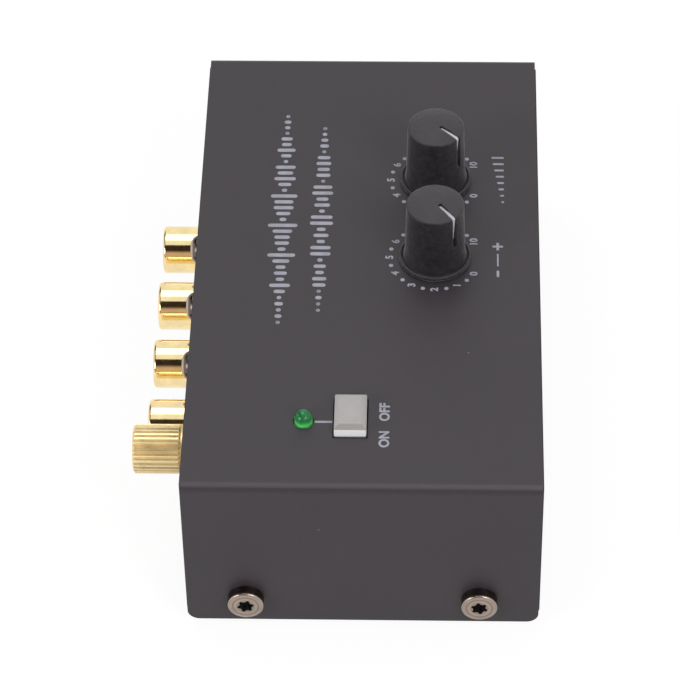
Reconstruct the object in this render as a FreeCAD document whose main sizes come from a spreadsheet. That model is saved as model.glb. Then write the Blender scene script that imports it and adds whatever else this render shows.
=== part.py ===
import FreeCAD, Part
import math
import os
from types import SimpleNamespace

import Sketcher
from FreeCAD import Placement, Rotation, Vector

# Desktop phono preamp in a two-piece bent-sheet case, in millimetres.
# X runs along the case, Y points to the rear sockets, Z is up, and Z = 0 is the table.
# Pieces are drawn from the middle of the tray's underside; place() moves them into the part's frame.

SIZES = (
    # the case
    ("case_length", "104", "cover, end flap to end flap"),
    ("case_width", "58.3", "cover, front edge to rear edge"),
    ("case_height", "32.8", "tray underside to panel top"),
    ("sheet_thick", "1", "steel sheet of the cover and tray"),
    ("cover_bend", "0.4", "inside radius of the cover's bends"),
    ("tray_bend", "0.6", "inside radius of the tray's bends"),
    ("flap_corner", "2", "rounding of the end flaps' lower corners"),
    ("seam_gap", "0.15", "clearance between cover and tray"),
    ("cut_margin", "1", "how far a cutting shape passes what it cuts"),
    ("wall_proud", "0.2", "how far the tray walls stand past the cover's edges"),
    ("tab_width", "50", "width of the tray's end tabs"),
    ("tab_height", "13", "height of the tray's end tabs"),
    ("wall_setback", "0.4", "tray wall's end inside the tab's outer face"),
    ("relief_width", "0.8", "slot that frees a tab's bend"),
    ("foot_height", "2", "rubber foot"),
    ("foot_radius", "4", "rubber foot"),
    ("foot_edge", "0.6", "chamfer of the foot's tread"),
    ("foot_inset", "9", "foot centre from the case's edges"),
    # screws that hold the cover
    ("flap_screw_rise", "5.5", "screw centre above the tray underside"),
    ("flap_screw_side", "19.3", "screw centre from the middle of the flap"),
    ("flap_head_radius", "3", "screw head"),
    ("flap_head_height", "1.9", "screw head"),
    ("flap_head_round", "0.35", "rounding of the head's rim"),
    ("screw_radius", "1.45", "shank of every M3 screw"),
    ("screw_gap", "0.05", "shank to thread clearance"),
    ("screw_free", "0.25", "shank to through-hole clearance"),
    ("flap_screw_length", "5.5", "shank under the head"),
    ("lobe_radius", "1.3", "six-lobe recess, flank points from the centre"),
    ("lobe_round", "0.3", "six-lobe recess, outer lobes"),
    ("lobe_hollow", "0.6", "six-lobe recess, inner flanks"),
    ("lobe_depth", "1.2", "six-lobe recess"),
    ("clinch_radius", "2.75", "clinch nut on the tray tab"),
    ("clinch_length", "2", "clinch nut on the tray tab"),
    ("pan_head_radius", "2.6", "pan head of the board screws"),
    ("pan_head_height", "1.8", "pan head of the board screws"),
    # circuit boards
    ("standoff_height", "5", "tray floor to the main board"),
    ("standoff_radius", "3.1", "hexagon's corner radius"),
    ("board_thick", "1.6", "both circuit boards"),
    ("board_end_gap", "1.05", "main board's ends to the tray's end tabs"),
    ("board_side_gap", "0.65", "main board's sides to the tray's walls"),
    ("notch_depth", "3.8", "main board's notch round a clinch nut"),
    ("notch_margin", "1.5", "main board's notch beside a clinch nut"),
    ("bolt_end", "10.8", "main board screws from the board's ends"),
    ("bolt_edge", "6.2", "main board screws from the board's sides"),
    ("corner_bolt_end", "6.8", "screw beside the sockets, from the board's end"),
    ("corner_bolt_edge", "19.7", "screw beside the sockets, from the board's rear side"),
    ("rear_bolt_edge", "14.7", "screw in front of the ground post, from the board's rear side"),
    ("board_screw_length", "5.5", "shank of the board screws"),
    ("control_drop", "10.6", "panel underside to the control board"),
    ("control_end_gap", "2", "control board's left end to the cover's flap"),
    ("control_past", "5.3", "control board's right end past the volume axis"),
    ("control_side_gap", "3.35", "control board to the front wall and to the sockets' moulding"),
    ("control_bolt_end", "3.15", "its screws from its ends"),
    ("control_bolt_edge", "3.5", "its screws from its sides"),
    # dials
    ("dial_end", "32", "volume dial's axis from the cover's right end"),
    ("dial_spacing", "19.16", "level axis to volume axis"),
    ("dial_inset", "17.65", "both dials from the cover's front edge"),
    ("level_turn", "-132", "level pointer, clockwise from the rear, in degrees"),
    ("volume_turn", "-142.5", "volume pointer, clockwise from the rear, in degrees"),
    ("dial_hole", "3.7", "panel hole radius"),
    ("knob_lift", "0.3", "panel to the knob's underside"),
    ("skirt_radius", "6.1", "knob's skirt ring"),
    ("skirt_height", "0.65", "knob's skirt ring"),
    ("skirt_groove", "0.4", "gap between skirt ring and body"),
    ("skirt_chamfer", "0.15", "skirt ring's upper edge"),
    ("knob_foot_radius", "5.35", "knob body at its foot"),
    ("knob_flare_radius", "5.13", "knob body above its flared foot"),
    ("knob_flare_height", "2.4", "top of the flared foot above the underside"),
    ("knob_top_radius", "4.87", "knob body at its top edge"),
    ("knob_height", "12.3", "underside to the top edge"),
    ("knob_edge", "0.35", "rounding of the top edge"),
    ("knob_crown", "0.6", "rise of the crowned top"),
    ("pointer_width", "0.75", "groove for the white line"),
    ("pointer_start", "0.9", "groove's inner end from the axis"),
    ("pointer_depth", "0.7", "groove depth at the top edge"),
    ("pointer_lean", "0.5", "how much the groove leans inwards"),
    ("pointer_foot", "5.7", "groove's lower end above the underside"),
    ("pointer_thick", "0.35", "white insert in the groove"),
    ("pot_width", "9.7", "potentiometer"),
    ("pot_depth", "11.4", "potentiometer"),
    ("pot_height", "10.5", "potentiometer"),
    ("pot_cavity", "4.3", "radius of its inside"),
    ("collar_radius", "3.45", "potentiometer's guide collar"),
    ("collar_height", "0.9", "potentiometer's guide collar"),
    ("shaft_radius", "3", "potentiometer shaft"),
    ("shaft_flat", "1.5", "flat of the D shaft from its axis"),
    ("shaft_gap", "0.05", "running clearance of the shaft"),
    ("shaft_engage", "9.5", "shaft inside the knob"),
    ("shaft_floor", "0.3", "board to the shaft's lower end"),
    ("shaft_chamfer", "0.5", "shaft's top"),
    ("wiper_radius", "4", "wiper discs"),
    ("wiper_thick", "0.8", "wiper discs"),
    ("bore_spare", "0.3", "knob's bore above the shaft"),
    # lamp and power button
    ("led_inset", "14.7", "lamp's axis from the cover's left end"),
    ("led_back", "19.5", "lamp's axis from the cover's rear edge"),
    ("led_radius", "1.5", "lamp's dome"),
    ("led_flange", "1.9", "radius of the lamp's rim"),
    ("led_gap", "0.2", "lamp in its panel hole"),
    ("led_rise", "2.2", "dome top above the panel"),
    ("led_height", "5.3", "lamp without its wires"),
    ("lead_side", "0.5", "square lead wires"),
    ("lead_offset", "1.27", "lead wire from the lamp's axis"),
    ("lead_tail", "1", "lead wire below the board"),
    ("lead_hole", "0.5", "radius of its hole in the board"),
    ("spacer_radius", "2.4", "spacer under the lamp"),
    ("spacer_slot", "3.5", "slot for the wires"),
    ("button_inset", "15.3", "button's centre from the cover's left end"),
    ("button_back", "27.15", "button's centre from the cover's rear edge"),
    ("button_length", "8.2", "along X"),
    ("button_width", "5.25", "along Y"),
    ("button_rise", "2.4", "above the panel when out"),
    ("button_chamfer", "0.77", "bevel round the top"),
    ("button_gap", "0.25", "button in its panel hole"),
    ("button_rim", "0.6", "rim that keeps the button in"),
    ("button_travel", "2", "full press"),
    ("press_gap", "0.5", "left between button and switch at full press"),
    ("switch_side", "8", "switch case, square"),
    ("switch_height", "6", "switch case"),
    ("switch_cavity", "2.2", "radius of the switch's inside"),
    ("switch_roof", "1.5", "thickness above the cavity"),
    ("plunger_side", "3", "square plunger"),
    ("plunger_gap", "0.08", "plunger in its guide"),
    ("plunger_socket", "2.6", "plunger inside the button"),
    ("collar_disc", "2", "radius of the plunger's disc"),
    ("collar_disc_height", "0.8", "plunger's disc"),
    ("spring_radius", "1.5", "return spring, to the wire's centre"),
    ("spring_wire", "0.15", "from the square wire's middle to its corners"),
    # sockets on the rear wall
    ("rca_from_trs", "12.6", "first phono socket from the 6.35 mm socket"),
    ("rca_pitch", "14", "socket to socket"),
    ("rca_rise", "17", "socket axis above the tray underside"),
    ("rca_reach", "7.3", "barrel tip past the cover's edge"),
    ("barrel_radius", "4.15", "phono socket shell"),
    ("barrel_wall", "0.7", "phono socket shell"),
    ("barrel_round", "0.55", "rounding of the shell's lip"),
    ("barrel_step", "0.2", "shell's narrower root, from the wall inwards"),
    ("barrel_free", "0.35", "shell in the wall's hole"),
    ("barrel_seat", "0.05", "shell in its moulding"),
    ("rca_bed", "8", "shell's length inside the moulding"),
    ("insulator_recess", "1.2", "insulator below the lip"),
    ("contact_bore", "1.62", "centre contact"),
    ("contact_wall", "0.25", "centre contact"),
    ("contact_recess", "0.3", "centre contact below the insulator's face"),
    ("block_margin", "6.2", "moulding beside the outer sockets"),
    ("block_roof", "1.1", "moulding above the sockets"),
    ("block_depth", "12", "moulding, front to back"),
    ("ear_rise", "7", "fixing screw above the socket axis"),
    ("ear_radius", "3.2", "fixing ear"),
    ("ear_depth", "8", "fixing ear"),
    ("rear_head_radius", "2.45", "fixing screw's head"),
    ("rear_head_height", "1.7", "fixing screw's head"),
    ("rear_screw_length", "7", "fixing screw's shank"),
    ("cross_width", "0.7", "cross recess"),
    ("cross_span", "2.6", "cross recess"),
    ("cross_depth", "0.9", "cross recess"),
    ("trs_from_dc", "11", "6.35 mm socket from the power inlet"),
    ("trs_side", "11", "6.35 mm socket's body"),
    ("trs_tall", "11.4", "6.35 mm socket's body"),
    ("trs_rise", "6", "bore axis above the board"),
    ("trs_depth", "25.8", "6.35 mm socket's body"),
    ("trs_nose", "4.7", "radius of the nose in the wall"),
    ("trs_proud", "0.5", "nose past the wall"),
    ("trs_bore", "3.2", "bore radius"),
    ("sleeve_wall", "0.6", "metal sleeve in the mouth"),
    ("sleeve_length", "7", "metal sleeve in the mouth"),
    ("sleeve_gap", "0.02", "sleeve in the mouth"),
    ("sleeve_chamfer", "0.2", "sleeve's mouth"),
    ("leaf_thick", "0.4", "contact springs behind the socket"),
    ("leaf_rise", "4.2", "their tops above the bore's axis"),
    ("leaf_dip", "2.4", "their dips above the bore's axis"),
    ("leaf_run", "5", "from the socket to the dip's start"),
    ("leaf_slope", "1.5", "length of each side of the dip"),
    ("nose_gap", "0.2", "each nose in the wall's hole"),
    ("dc_inset", "10", "power inlet from the cover's right end"),
    ("dc_side", "9", "power inlet's body"),
    ("dc_tall", "11", "power inlet's body"),
    ("dc_rise", "6.4", "inlet axis above the board"),
    ("dc_depth", "14", "power inlet's body"),
    ("dc_nose", "3.8", "radius of the inlet's nose"),
    ("dc_bore", "3.15", "inlet bore radius"),
    ("dc_bore_depth", "10", "inlet bore"),
    ("dc_pin_radius", "1", "inlet's centre pin"),
    ("dc_pin_recess", "1", "pin tip inside the mouth"),
    ("dc_pin_root", "2", "pin in the body's floor"),
    ("dc_pin_step", "0.2", "pin's narrower root"),
    ("dc_slot_half", "1.1", "half the width of the spring's slot"),
    ("dc_slot_depth", "0.6", "spring's slot below the bore"),
    ("dc_spring_width", "1.8", "contact spring"),
    ("dc_spring_thick", "0.4", "contact spring"),
    ("dc_spring_short", "2", "contact spring, shorter than the bore"),
    # ground post
    ("ground_from_rca", "10.3", "ground post from the last phono socket"),
    ("ground_rise", "22", "above the tray underside"),
    ("ground_reach", "9", "thumb nut's end past the cover's edge"),
    ("stud_radius", "2", "ground post, M4"),
    ("stud_recess", "0.7", "post's end inside the thumb nut"),
    ("stud_head", "3.6", "radius of the post's clinched head"),
    ("stud_head_height", "0.8", "post's clinched head"),
    ("stud_gap", "0.05", "post in its nuts"),
    ("stud_tail", "0.6", "post past the inner nut"),
    ("stud_chamfer", "0.3", "post's outer end"),
    ("washer_thick", "0.8", "ground washer"),
    ("washer_radius", "4", "ground washer"),
    ("thumb_radius", "4.1", "thumb nut"),
    ("thumb_chamfer", "0.35", "thumb nut's ends"),
    ("knurl_depth", "0.3", "thumb nut's straight knurl"),
    ("knurl_reach", "0.2", "knurl cutter's reach past the blank"),
    ("knurl_half", "0.42", "half the knurl cutter's width there"),
    ("lug_thick", "0.6", "solder lug"),
    ("lug_radius", "3.4", "solder lug's ring"),
    ("lug_tail", "9", "solder lug's tail below the post"),
    ("inner_nut", "4", "inner nut's corner radius"),
    ("inner_nut_height", "2.4", "inner nut"),
    ("wire_radius", "0.7", "ground wire"),
    ("wire_bend", "2.4", "ground wire's bend radius"),
    ("wire_run", "5.5", "ground wire's reach over the board"),
    ("wire_joint", "2.1", "ground wire's length up the lug's tail"),
    # parts on the boards
    ("cap_radius", "3.15", "electrolytic capacitors"),
    ("cap_height", "8.6", "electrolytic capacitors"),
    ("cap_x", "-38", "first electrolytic capacitor"),
    ("cap_y", "-6", "first electrolytic capacitor"),
    ("cap_pitch", "8", "capacitor to capacitor in a row"),
    ("cap_row_gap", "10", "row to row"),
    ("film_length", "7.2", "film capacitors"),
    ("film_width", "2.6", "film capacitors"),
    ("film_height", "6.4", "film capacitors"),
    ("film_x", "4", "first film capacitor"),
    ("film_y", "-13", "first film capacitor"),
    ("film_pitch", "4", "one film capacitor behind another"),
    ("film_row_gap", "12", "row to row"),
    ("chip_length", "2", "chip resistors"),
    ("chip_width", "1.25", "chip resistors"),
    ("chip_height", "0.55", "chip resistors"),
    ("chip_x", "-4", "first chip resistor"),
    ("chip_y", "-3", "first chip resistor"),
    ("chip_pitch", "4", "chip to chip"),
    ("chip_row_gap", "14", "row to row"),
    ("amp_length", "9.4", "amplifier chips"),
    ("amp_width", "6.4", "amplifier chips"),
    ("amp_height", "3.4", "amplifier chips"),
    ("amp_y", "4", "both amplifier chips"),
    ("amp_pitch", "14", "first, at X = 0, to second"),
    ("regulator_end", "4.8", "voltage regulator from the board's end"),
    ("regulator_y", "-4", "its legs"),
    ("regulator_width", "10", "its case and tab"),
    ("regulator_depth", "4.5", "its case"),
    ("regulator_case", "9", "its case's height"),
    ("regulator_lift", "3", "board to its case"),
    ("regulator_tall", "15", "its tab's height"),
    ("regulator_tab", "1.3", "its tab's thickness"),
    ("regulator_back", "1.6", "its tab behind its legs"),
    ("leg_pitch", "2.54", "its legs"),
    ("leg_width", "0.8", "its legs"),
    ("leg_thick", "0.6", "its legs"),
    ("leg_height", "4", "its legs, into the case"),
    ("header_length", "12.6", "ribbon sockets"),
    ("header_width", "5", "ribbon sockets"),
    ("header_drop", "3", "socket under the control board"),
    ("ribbon_room", "4", "height between the two sockets"),
    ("header_x", "-12", "both ribbon sockets"),
    ("header_front", "-21", "socket on the main board"),
    ("ribbon_width", "10", "ribbon cable"),
    ("ribbon_half", "0.45", "half the ribbon's thickness"),
    ("ribbon_bend", "1.3", "ribbon's bend radius"),
)

KNURLS = 31
LOBES = 6
LOBE_HALF_ANGLE = 11
SPRING_TURNS = 4
COVER_SCREW_TWISTS = (12, 40, 25, 3)
REAR_SCREW_TWISTS = (20, 65, 40)


class Size:
    """A length that carries its number and the sheet expression it is bound to."""

    def __init__(self, value, text):
        self.value = value
        self.text = text

    def __add__(self, other):
        return Size(self.value + number(other), "(%s + %s)" % (self.text, text(other)))

    def __radd__(self, other):
        return Size(number(other) + self.value, "(%s + %s)" % (text(other), self.text))

    def __sub__(self, other):
        return Size(self.value - number(other), "(%s - %s)" % (self.text, text(other)))

    def __rsub__(self, other):
        return Size(number(other) - self.value, "(%s - %s)" % (text(other), self.text))

    def __mul__(self, other):
        return Size(self.value * number(other), "(%s * %s)" % (self.text, text(other)))

    __rmul__ = __mul__

    def __truediv__(self, other):
        return Size(self.value / number(other), "(%s / %s)" % (self.text, text(other)))

    def __neg__(self):
        return 0 - self


def number(size):
    return size.value if isinstance(size, Size) else float(size)


def text(size):
    return size.text if isinstance(size, Size) else "(%.9f)" % size


def root(size):
    return Size(math.sqrt(size.value), "sqrt(%s)" % size.text)


def make_sheet():
    sheet = doc.addObject("Spreadsheet::Sheet", "Sheet")
    for row, (alias, cell, meaning) in enumerate(SIZES, start=1):
        sheet.set("A%d" % row, meaning)
        sheet.set("B%d" % row, cell)
        sheet.setAlias("B%d" % row, alias)
    doc.recompute()
    return SimpleNamespace(**{alias: Size(float(sheet.get(alias)), "Sheet." + alias)
                              for alias, cell, meaning in SIZES})


doc = FreeCAD.newDocument("phono_preamp")
s = make_sheet()

# Levels and faces that several pieces share, from the middle of the tray's underside.
half_length = s.case_length / 2
half_width = s.case_width / 2
panel_top = s.case_height
panel_under = panel_top - s.sheet_thick
wall_out = half_width + s.wall_proud
wall_in = wall_out - s.sheet_thick
tab_out = half_length - s.sheet_thick - s.seam_gap
tab_in = tab_out - s.sheet_thick
board_under = s.sheet_thick + s.standoff_height
board_top = board_under + s.board_thick
control_top = panel_under - s.control_drop
control_under = control_top - s.board_thick
case_shift = (s.wall_proud - s.ground_reach) / 2
thread_radius = s.screw_radius + s.screw_gap
free_radius = s.screw_radius + s.screw_free
volume_x = half_length - s.dial_end
level_x = volume_x - s.dial_spacing
dial_y = s.dial_inset - half_width
led_x = s.led_inset - half_length
led_y = half_width - s.led_back
button_x = s.button_inset - half_length
button_y = half_width - s.button_back
dc_x = half_length - s.dc_inset
trs_x = dc_x - s.trs_from_dc
rca_x = trs_x - s.rca_from_trs
rca_places = [rca_x - s.rca_pitch * n for n in range(4)]
ear_places = [rca_x - s.rca_pitch * (n + 0.5) for n in range(3)]
ground_x = rca_places[-1] - s.ground_from_rca
board_end = tab_in - s.board_end_gap
board_side = wall_in - s.board_side_gap
control_left = s.control_end_gap + s.sheet_thick - half_length
control_right = volume_x + s.control_past
control_front = s.control_side_gap - wall_in
control_back = wall_in - s.block_depth - s.control_side_gap
control_y = (control_front + control_back) / 2
ear_z = s.rca_rise + s.ear_rise
trs_z = board_top + s.trs_rise
dc_z = board_top + s.dc_rise
button_under = control_top + s.switch_height + s.button_travel + s.press_gap
ZERO = Size(0, "0")


# Helpers that draw sketches and features bound to the sheet.

def origin_plane(body, role):
    return next(plane for plane in body.Origin.OriginFeatures if plane.Role == role)


def new_body(label):
    return doc.addObject("PartDesign::Body", label)


def new_sketch(body, role, lift=0):
    """A sketch on one of the body's own planes, lifted along X, Y or Z."""
    sketch = body.newObject("Sketcher::SketchObject", body.Label + "_sketch")
    sketch.AttachmentSupport = (origin_plane(body, role), [""])
    sketch.MapMode = "FlatFace"
    if role == "XZ_Plane":
        lift = 0 - lift
    if isinstance(lift, Size):
        sketch.setExpression("AttachmentOffset.Base.z", lift.text)
    return sketch


def fix(sketch, geometry, point, x, y):
    """Hold one point of the sketch at x, y from its origin."""
    for kind, value, axis in (("DistanceX", x, -2), ("DistanceY", y, -1)):
        if not isinstance(value, Size) and value == 0:
            sketch.addConstraint(Sketcher.Constraint("PointOnObject", geometry, point, axis))
            continue
        index = sketch.addConstraint(Sketcher.Constraint(kind, -1, 1, geometry, point, number(value)))
        if isinstance(value, Size):
            sketch.setExpression("Constraints[%d]" % index, value.text)


def fix_radius(sketch, geometry, radius):
    index = sketch.addConstraint(Sketcher.Constraint("Radius", geometry, number(radius)))
    if isinstance(radius, Size):
        sketch.setExpression("Constraints[%d]" % index, radius.text)


def arc_between(start, end, radius, left):
    """The short arc from start to end that bends left or right."""
    chord = end - start
    rise = math.sqrt(max(radius ** 2 - (chord.Length / 2) ** 2, 0))
    side = Vector(-chord.y, chord.x, 0).normalize() * (rise if left else -rise)
    centre = (start + end) / 2 + side
    first, last = (start, end) if left else (end, start)
    angles = [math.atan2(p.y - centre.y, p.x - centre.x) for p in (first, last)]
    if angles[1] < angles[0]:
        angles[1] += 2 * math.pi
    return Part.ArcOfCircle(Part.Circle(centre, Vector(0, 0, 1), radius), *angles)


def outline(sketch, points, closed=True):
    """Join points by lines, or by an arc where a point has a radius: ("left" or "right") bend before it."""
    places = [Vector(number(p[0]), number(p[1]), 0) for p in points]
    ends = []
    spans = len(points) if closed else len(points) - 1
    for i in range(spans):
        target = points[(i + 1) % len(points)]
        start, end = places[i], places[(i + 1) % len(points)]
        if len(target) == 2:
            ends.append((sketch.addGeometry(Part.LineSegment(start, end)), 1, 2))
            continue
        left = target[3] == "left"
        geometry = sketch.addGeometry(arc_between(start, end, number(target[2]), left))
        ends.append((geometry, 1, 2) if left else (geometry, 2, 1))
    for i in range(spans):
        geometry, first, last = ends[i]
        fix(sketch, geometry, first, points[i][0], points[i][1])
        if closed or i + 1 < spans:
            after = ends[(i + 1) % spans]
            sketch.addConstraint(Sketcher.Constraint("Coincident", geometry, last, after[0], after[1]))
        else:
            fix(sketch, geometry, last, points[-1][0], points[-1][1])
        target = points[(i + 1) % len(points)]
        if len(target) == 4:
            fix_radius(sketch, geometry, target[2])


def circle(sketch, x, y, radius):
    geometry = sketch.addGeometry(
        Part.Circle(Vector(number(x), number(y), 0), Vector(0, 0, 1), number(radius)))
    fix(sketch, geometry, 3, x, y)
    fix_radius(sketch, geometry, radius)


def rectangle(sketch, low_x, low_y, high_x, high_y):
    outline(sketch, [(low_x, low_y), (high_x, low_y), (high_x, high_y), (low_x, high_y)])


def centred(sketch, x, y, length, width):
    rectangle(sketch, x - length / 2, y - width / 2, x + length / 2, y + width / 2)


def hexagon(sketch, x, y, corner):
    corners = [math.radians(60 * k) for k in range(6)]
    outline(sketch, [(x + corner * math.cos(a), y + corner * math.sin(a)) for a in corners])


def bind(thing, name, size):
    setattr(thing, name, number(size))
    if isinstance(size, Size):
        thing.setExpression(name, size.text)


def pad(body, sketch, role, length, toward="+", both=False):
    feature = body.newObject("PartDesign::Pad", body.Label + "_pad")
    feature.Profile = sketch
    feature.Reversed = (toward == "-") != (role == "XZ_Plane")
    feature.SideType = "Symmetric" if both else "One side"
    bind(feature, "Length", length)
    return feature


def pocket(body, sketch, role, length=None, toward="-", both=False):
    """Cut the sketch away, for a length or right through, and check that it removed something."""
    doc.recompute()
    before = body.Shape.Volume
    feature = body.newObject("PartDesign::Pocket", body.Label + "_pocket")
    feature.Profile = sketch
    feature.Reversed = (toward == "+") != (role == "XZ_Plane")
    feature.SideType = "Symmetric" if both else "One side"
    if length is None:
        feature.Type = "ThroughAll"
    else:
        bind(feature, "Length", length)
    doc.recompute()
    if body.Shape.Volume >= before:
        raise RuntimeError("a pocket of %s cuts nothing" % body.Label)
    return feature


def revolve(body, sketch, axis="V_Axis"):
    feature = body.newObject("PartDesign::Revolution", body.Label + "_turned")
    feature.Profile = sketch
    feature.ReferenceAxis = (sketch, [axis])
    feature.Angle = 360
    return feature


def dress(body, kind, size, wanted):
    """Fillet or chamfer the edges that wanted(edge) picks."""
    doc.recompute()
    base = body.Tip
    names = ["Edge%d" % (i + 1) for i, edge in enumerate(base.Shape.Edges) if wanted(edge)]
    feature = body.newObject("PartDesign::" + kind, body.Label + "_" + kind.lower())
    feature.Base = (base, names)
    bind(feature, "Radius" if kind == "Fillet" else "Size", size)
    return feature


def near(value, size, slack=1e-4):
    return abs(value - number(size)) < slack


def along(edge, axis):
    """True for a straight edge that runs along X, Y or Z."""
    if edge.Curve.TypeId != "Part::GeomLine":
        return False
    way = edge.Vertexes[1].Point - edge.Vertexes[0].Point
    return abs(abs(getattr(way, axis)) - way.Length) < 1e-6


kept = []


def place(thing, x=0, y=0, z=0, turn=None, keep=True):
    """Seat a piece, given from the middle of the tray's underside, in the part's frame."""
    spot = (x, y + case_shift, z + s.foot_height)
    thing.Placement = Placement(Vector(*[number(c) for c in spot]), turn or Rotation())
    for letter, size in zip("xyz", spot):
        if isinstance(size, Size):
            thing.setExpression("Placement.Base." + letter, size.text)
    if keep:
        kept.append(thing)
    return thing


def group(label, master, spots):
    """Copies of one master piece, joined as separate solids under one label."""
    links = []
    for x, y, z, turn in spots:
        link = doc.addObject("App::Link", label + "_copy")
        link.LinkedObject = master
        links.append(place(link, x, y, z, turn, keep=False))
    return collect(label, links)


def collect(label, things):
    whole = doc.addObject("Part::Compound", label)
    whole.Links = things
    kept.append(whole)
    return whole


def box(label, x, y, z, length, width, height):
    """A plain block, centred on x, y and standing at z."""
    block = doc.addObject("Part::Box", label)
    for name, size in (("Length", length), ("Width", width), ("Height", height)):
        bind(block, name, size)
    return place(block, x - length / 2, y - width / 2, z, keep=False)


def cylinder(label, x, y, z, radius, height):
    rod = doc.addObject("Part::Cylinder", label)
    bind(rod, "Radius", radius)
    bind(rod, "Height", height)
    return place(rod, x, y, z, keep=False)


def join(kind, label, *things):
    """Part::Cut of two things or Part::MultiFuse of several."""
    whole = doc.addObject(kind, label)
    if kind == "Part::Cut":
        whole.Base, whole.Tool = things
    else:
        whole.Shapes = list(things)
    return whole


# The case

def bent_channel(sketch, half, height, bend, upright):
    """A U of sheet, open at the bottom when upright is False, with its bends drawn as arcs."""
    thick = s.sheet_thick
    outer = bend + thick
    sides = ("left", "right") if upright else ("right", "left")

    def at(z):
        return z if upright else height - z

    outline(sketch, [
        (0 - half, at(height)),
        (0 - half, at(outer)),
        (0 - (half - outer), at(0), outer, sides[0]),
        (half - outer, at(0)),
        (half, at(outer), outer, sides[0]),
        (half, at(height)),
        (half - thick, at(height)),
        (half - thick, at(outer)),
        (half - outer, at(thick), bend, sides[1]),
        (0 - (half - outer), at(thick)),
        (0 - (half - thick), at(outer), bend, sides[1]),
        (0 - (half - thick), at(height)),
    ])


def make_cover():
    body = new_body("top_cover")
    profile = new_sketch(body, "XZ_Plane")
    bent_channel(profile, half_length, s.case_height, s.cover_bend, upright=False)
    pad(body, profile, "XZ_Plane", s.case_width, both=True)
    dress(body, "Fillet", s.flap_corner,
          lambda e: along(e, "x") and near(e.BoundBox.ZMin, 0) and near(abs(e.BoundBox.YMin), half_width))
    screws = new_sketch(body, "YZ_Plane")
    for side in (-1, 1):
        circle(screws, s.flap_screw_side * side, s.flap_screw_rise, free_radius)
    pocket(body, screws, "YZ_Plane", both=True)
    panel = new_sketch(body, "XY_Plane", panel_under - s.sheet_thick)
    circle(panel, level_x, dial_y, s.dial_hole)
    circle(panel, volume_x, dial_y, s.dial_hole)
    circle(panel, led_x, led_y, s.led_radius + s.led_gap)
    centred(panel, button_x, button_y,
            s.button_length + s.button_gap * 2, s.button_width + s.button_gap * 2)
    pocket(body, panel, "XY_Plane", toward="+")
    place(body)


def make_tray():
    body = new_body("base_tray")
    walls = new_sketch(body, "YZ_Plane")
    bent_channel(walls, wall_out, panel_under - s.seam_gap, s.tray_bend, upright=True)
    pad(body, walls, "YZ_Plane", (tab_out - s.wall_setback) * 2, both=True)
    relief = new_sketch(body, "XY_Plane")
    bend_start = tab_out - s.tray_bend - s.sheet_thick
    free = s.tab_width / 2 + s.relief_width
    rectangle(relief, bend_start, 0 - free, tab_out, free)
    rectangle(relief, 0 - tab_out, 0 - free, 0 - bend_start, free)
    pocket(body, relief, "XY_Plane", s.sheet_thick, "+")
    tabs = new_sketch(body, "XZ_Plane")
    bent_channel(tabs, tab_out, s.tab_height, s.tray_bend, upright=True)
    pad(body, tabs, "XZ_Plane", s.tab_width, both=True)
    screws = new_sketch(body, "YZ_Plane")
    for side in (-1, 1):
        circle(screws, s.flap_screw_side * side, s.flap_screw_rise, free_radius)
    pocket(body, screws, "YZ_Plane", both=True)
    sockets = new_sketch(body, "XZ_Plane")
    for x in rca_places:
        circle(sockets, x, s.rca_rise, s.barrel_radius - s.barrel_step + s.barrel_free)
    for x in ear_places:
        circle(sockets, x, ear_z, free_radius)
    circle(sockets, trs_x, trs_z, s.trs_nose + s.nose_gap)
    circle(sockets, dc_x, dc_z, s.dc_nose + s.nose_gap)
    circle(sockets, ground_x, s.ground_rise, s.stud_radius + s.stud_gap)
    pocket(body, sockets, "XZ_Plane", toward="+")
    place(body)


def make_feet():
    foot = new_body("foot")
    profile = new_sketch(foot, "XZ_Plane")
    outline(profile, [(0, 0), (s.foot_radius - s.foot_edge, 0), (s.foot_radius, s.foot_edge),
                      (s.foot_radius, s.foot_height), (0, s.foot_height)])
    revolve(foot, profile)
    group("feet", foot, [((half_length - s.foot_inset) * i, (half_width - s.foot_inset) * j,
                          0 - s.foot_height, None) for i in (-1, 1) for j in (-1, 1)])


# Screws, nuts and standoffs

def lobed_recess(sketch):
    """Six round lobes joined by hollow flanks."""
    points = []
    for k in range(LOBES):
        for side, radius, bend in ((-1, s.lobe_hollow, "right"), (1, s.lobe_round, "left")):
            angle = math.radians(360 / LOBES * k + side * LOBE_HALF_ANGLE)
            points.append((s.lobe_radius * math.cos(angle), s.lobe_radius * math.sin(angle), radius, bend))
    outline(sketch, points)


def make_cover_screws():
    screw = new_body("cover_screw")
    profile = new_sketch(screw, "XY_Plane")
    head, rim = s.flap_head_height, s.flap_head_round
    outline(profile, [
        (0 - s.flap_screw_length, 0), (head, 0), (head, s.flap_head_radius - rim),
        (head - rim, s.flap_head_radius, rim, "left"), (0, s.flap_head_radius),
        (0, s.screw_radius), (0 - s.flap_screw_length, s.screw_radius)])
    revolve(screw, profile, "H_Axis")
    recess = new_sketch(screw, "YZ_Plane", head)
    lobed_recess(recess)
    pocket(screw, recess, "YZ_Plane", s.lobe_depth)
    spots = []
    for twist, (i, j) in zip(COVER_SCREW_TWISTS, ((-1, 1), (-1, -1), (1, 1), (1, -1))):
        turn = Rotation(Vector(0, 0, 1), 0 if i > 0 else 180) * Rotation(Vector(1, 0, 0), twist)
        spots.append((half_length * i, s.flap_screw_side * j, s.flap_screw_rise, turn))
    group("cover_screws", screw, spots)


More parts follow.
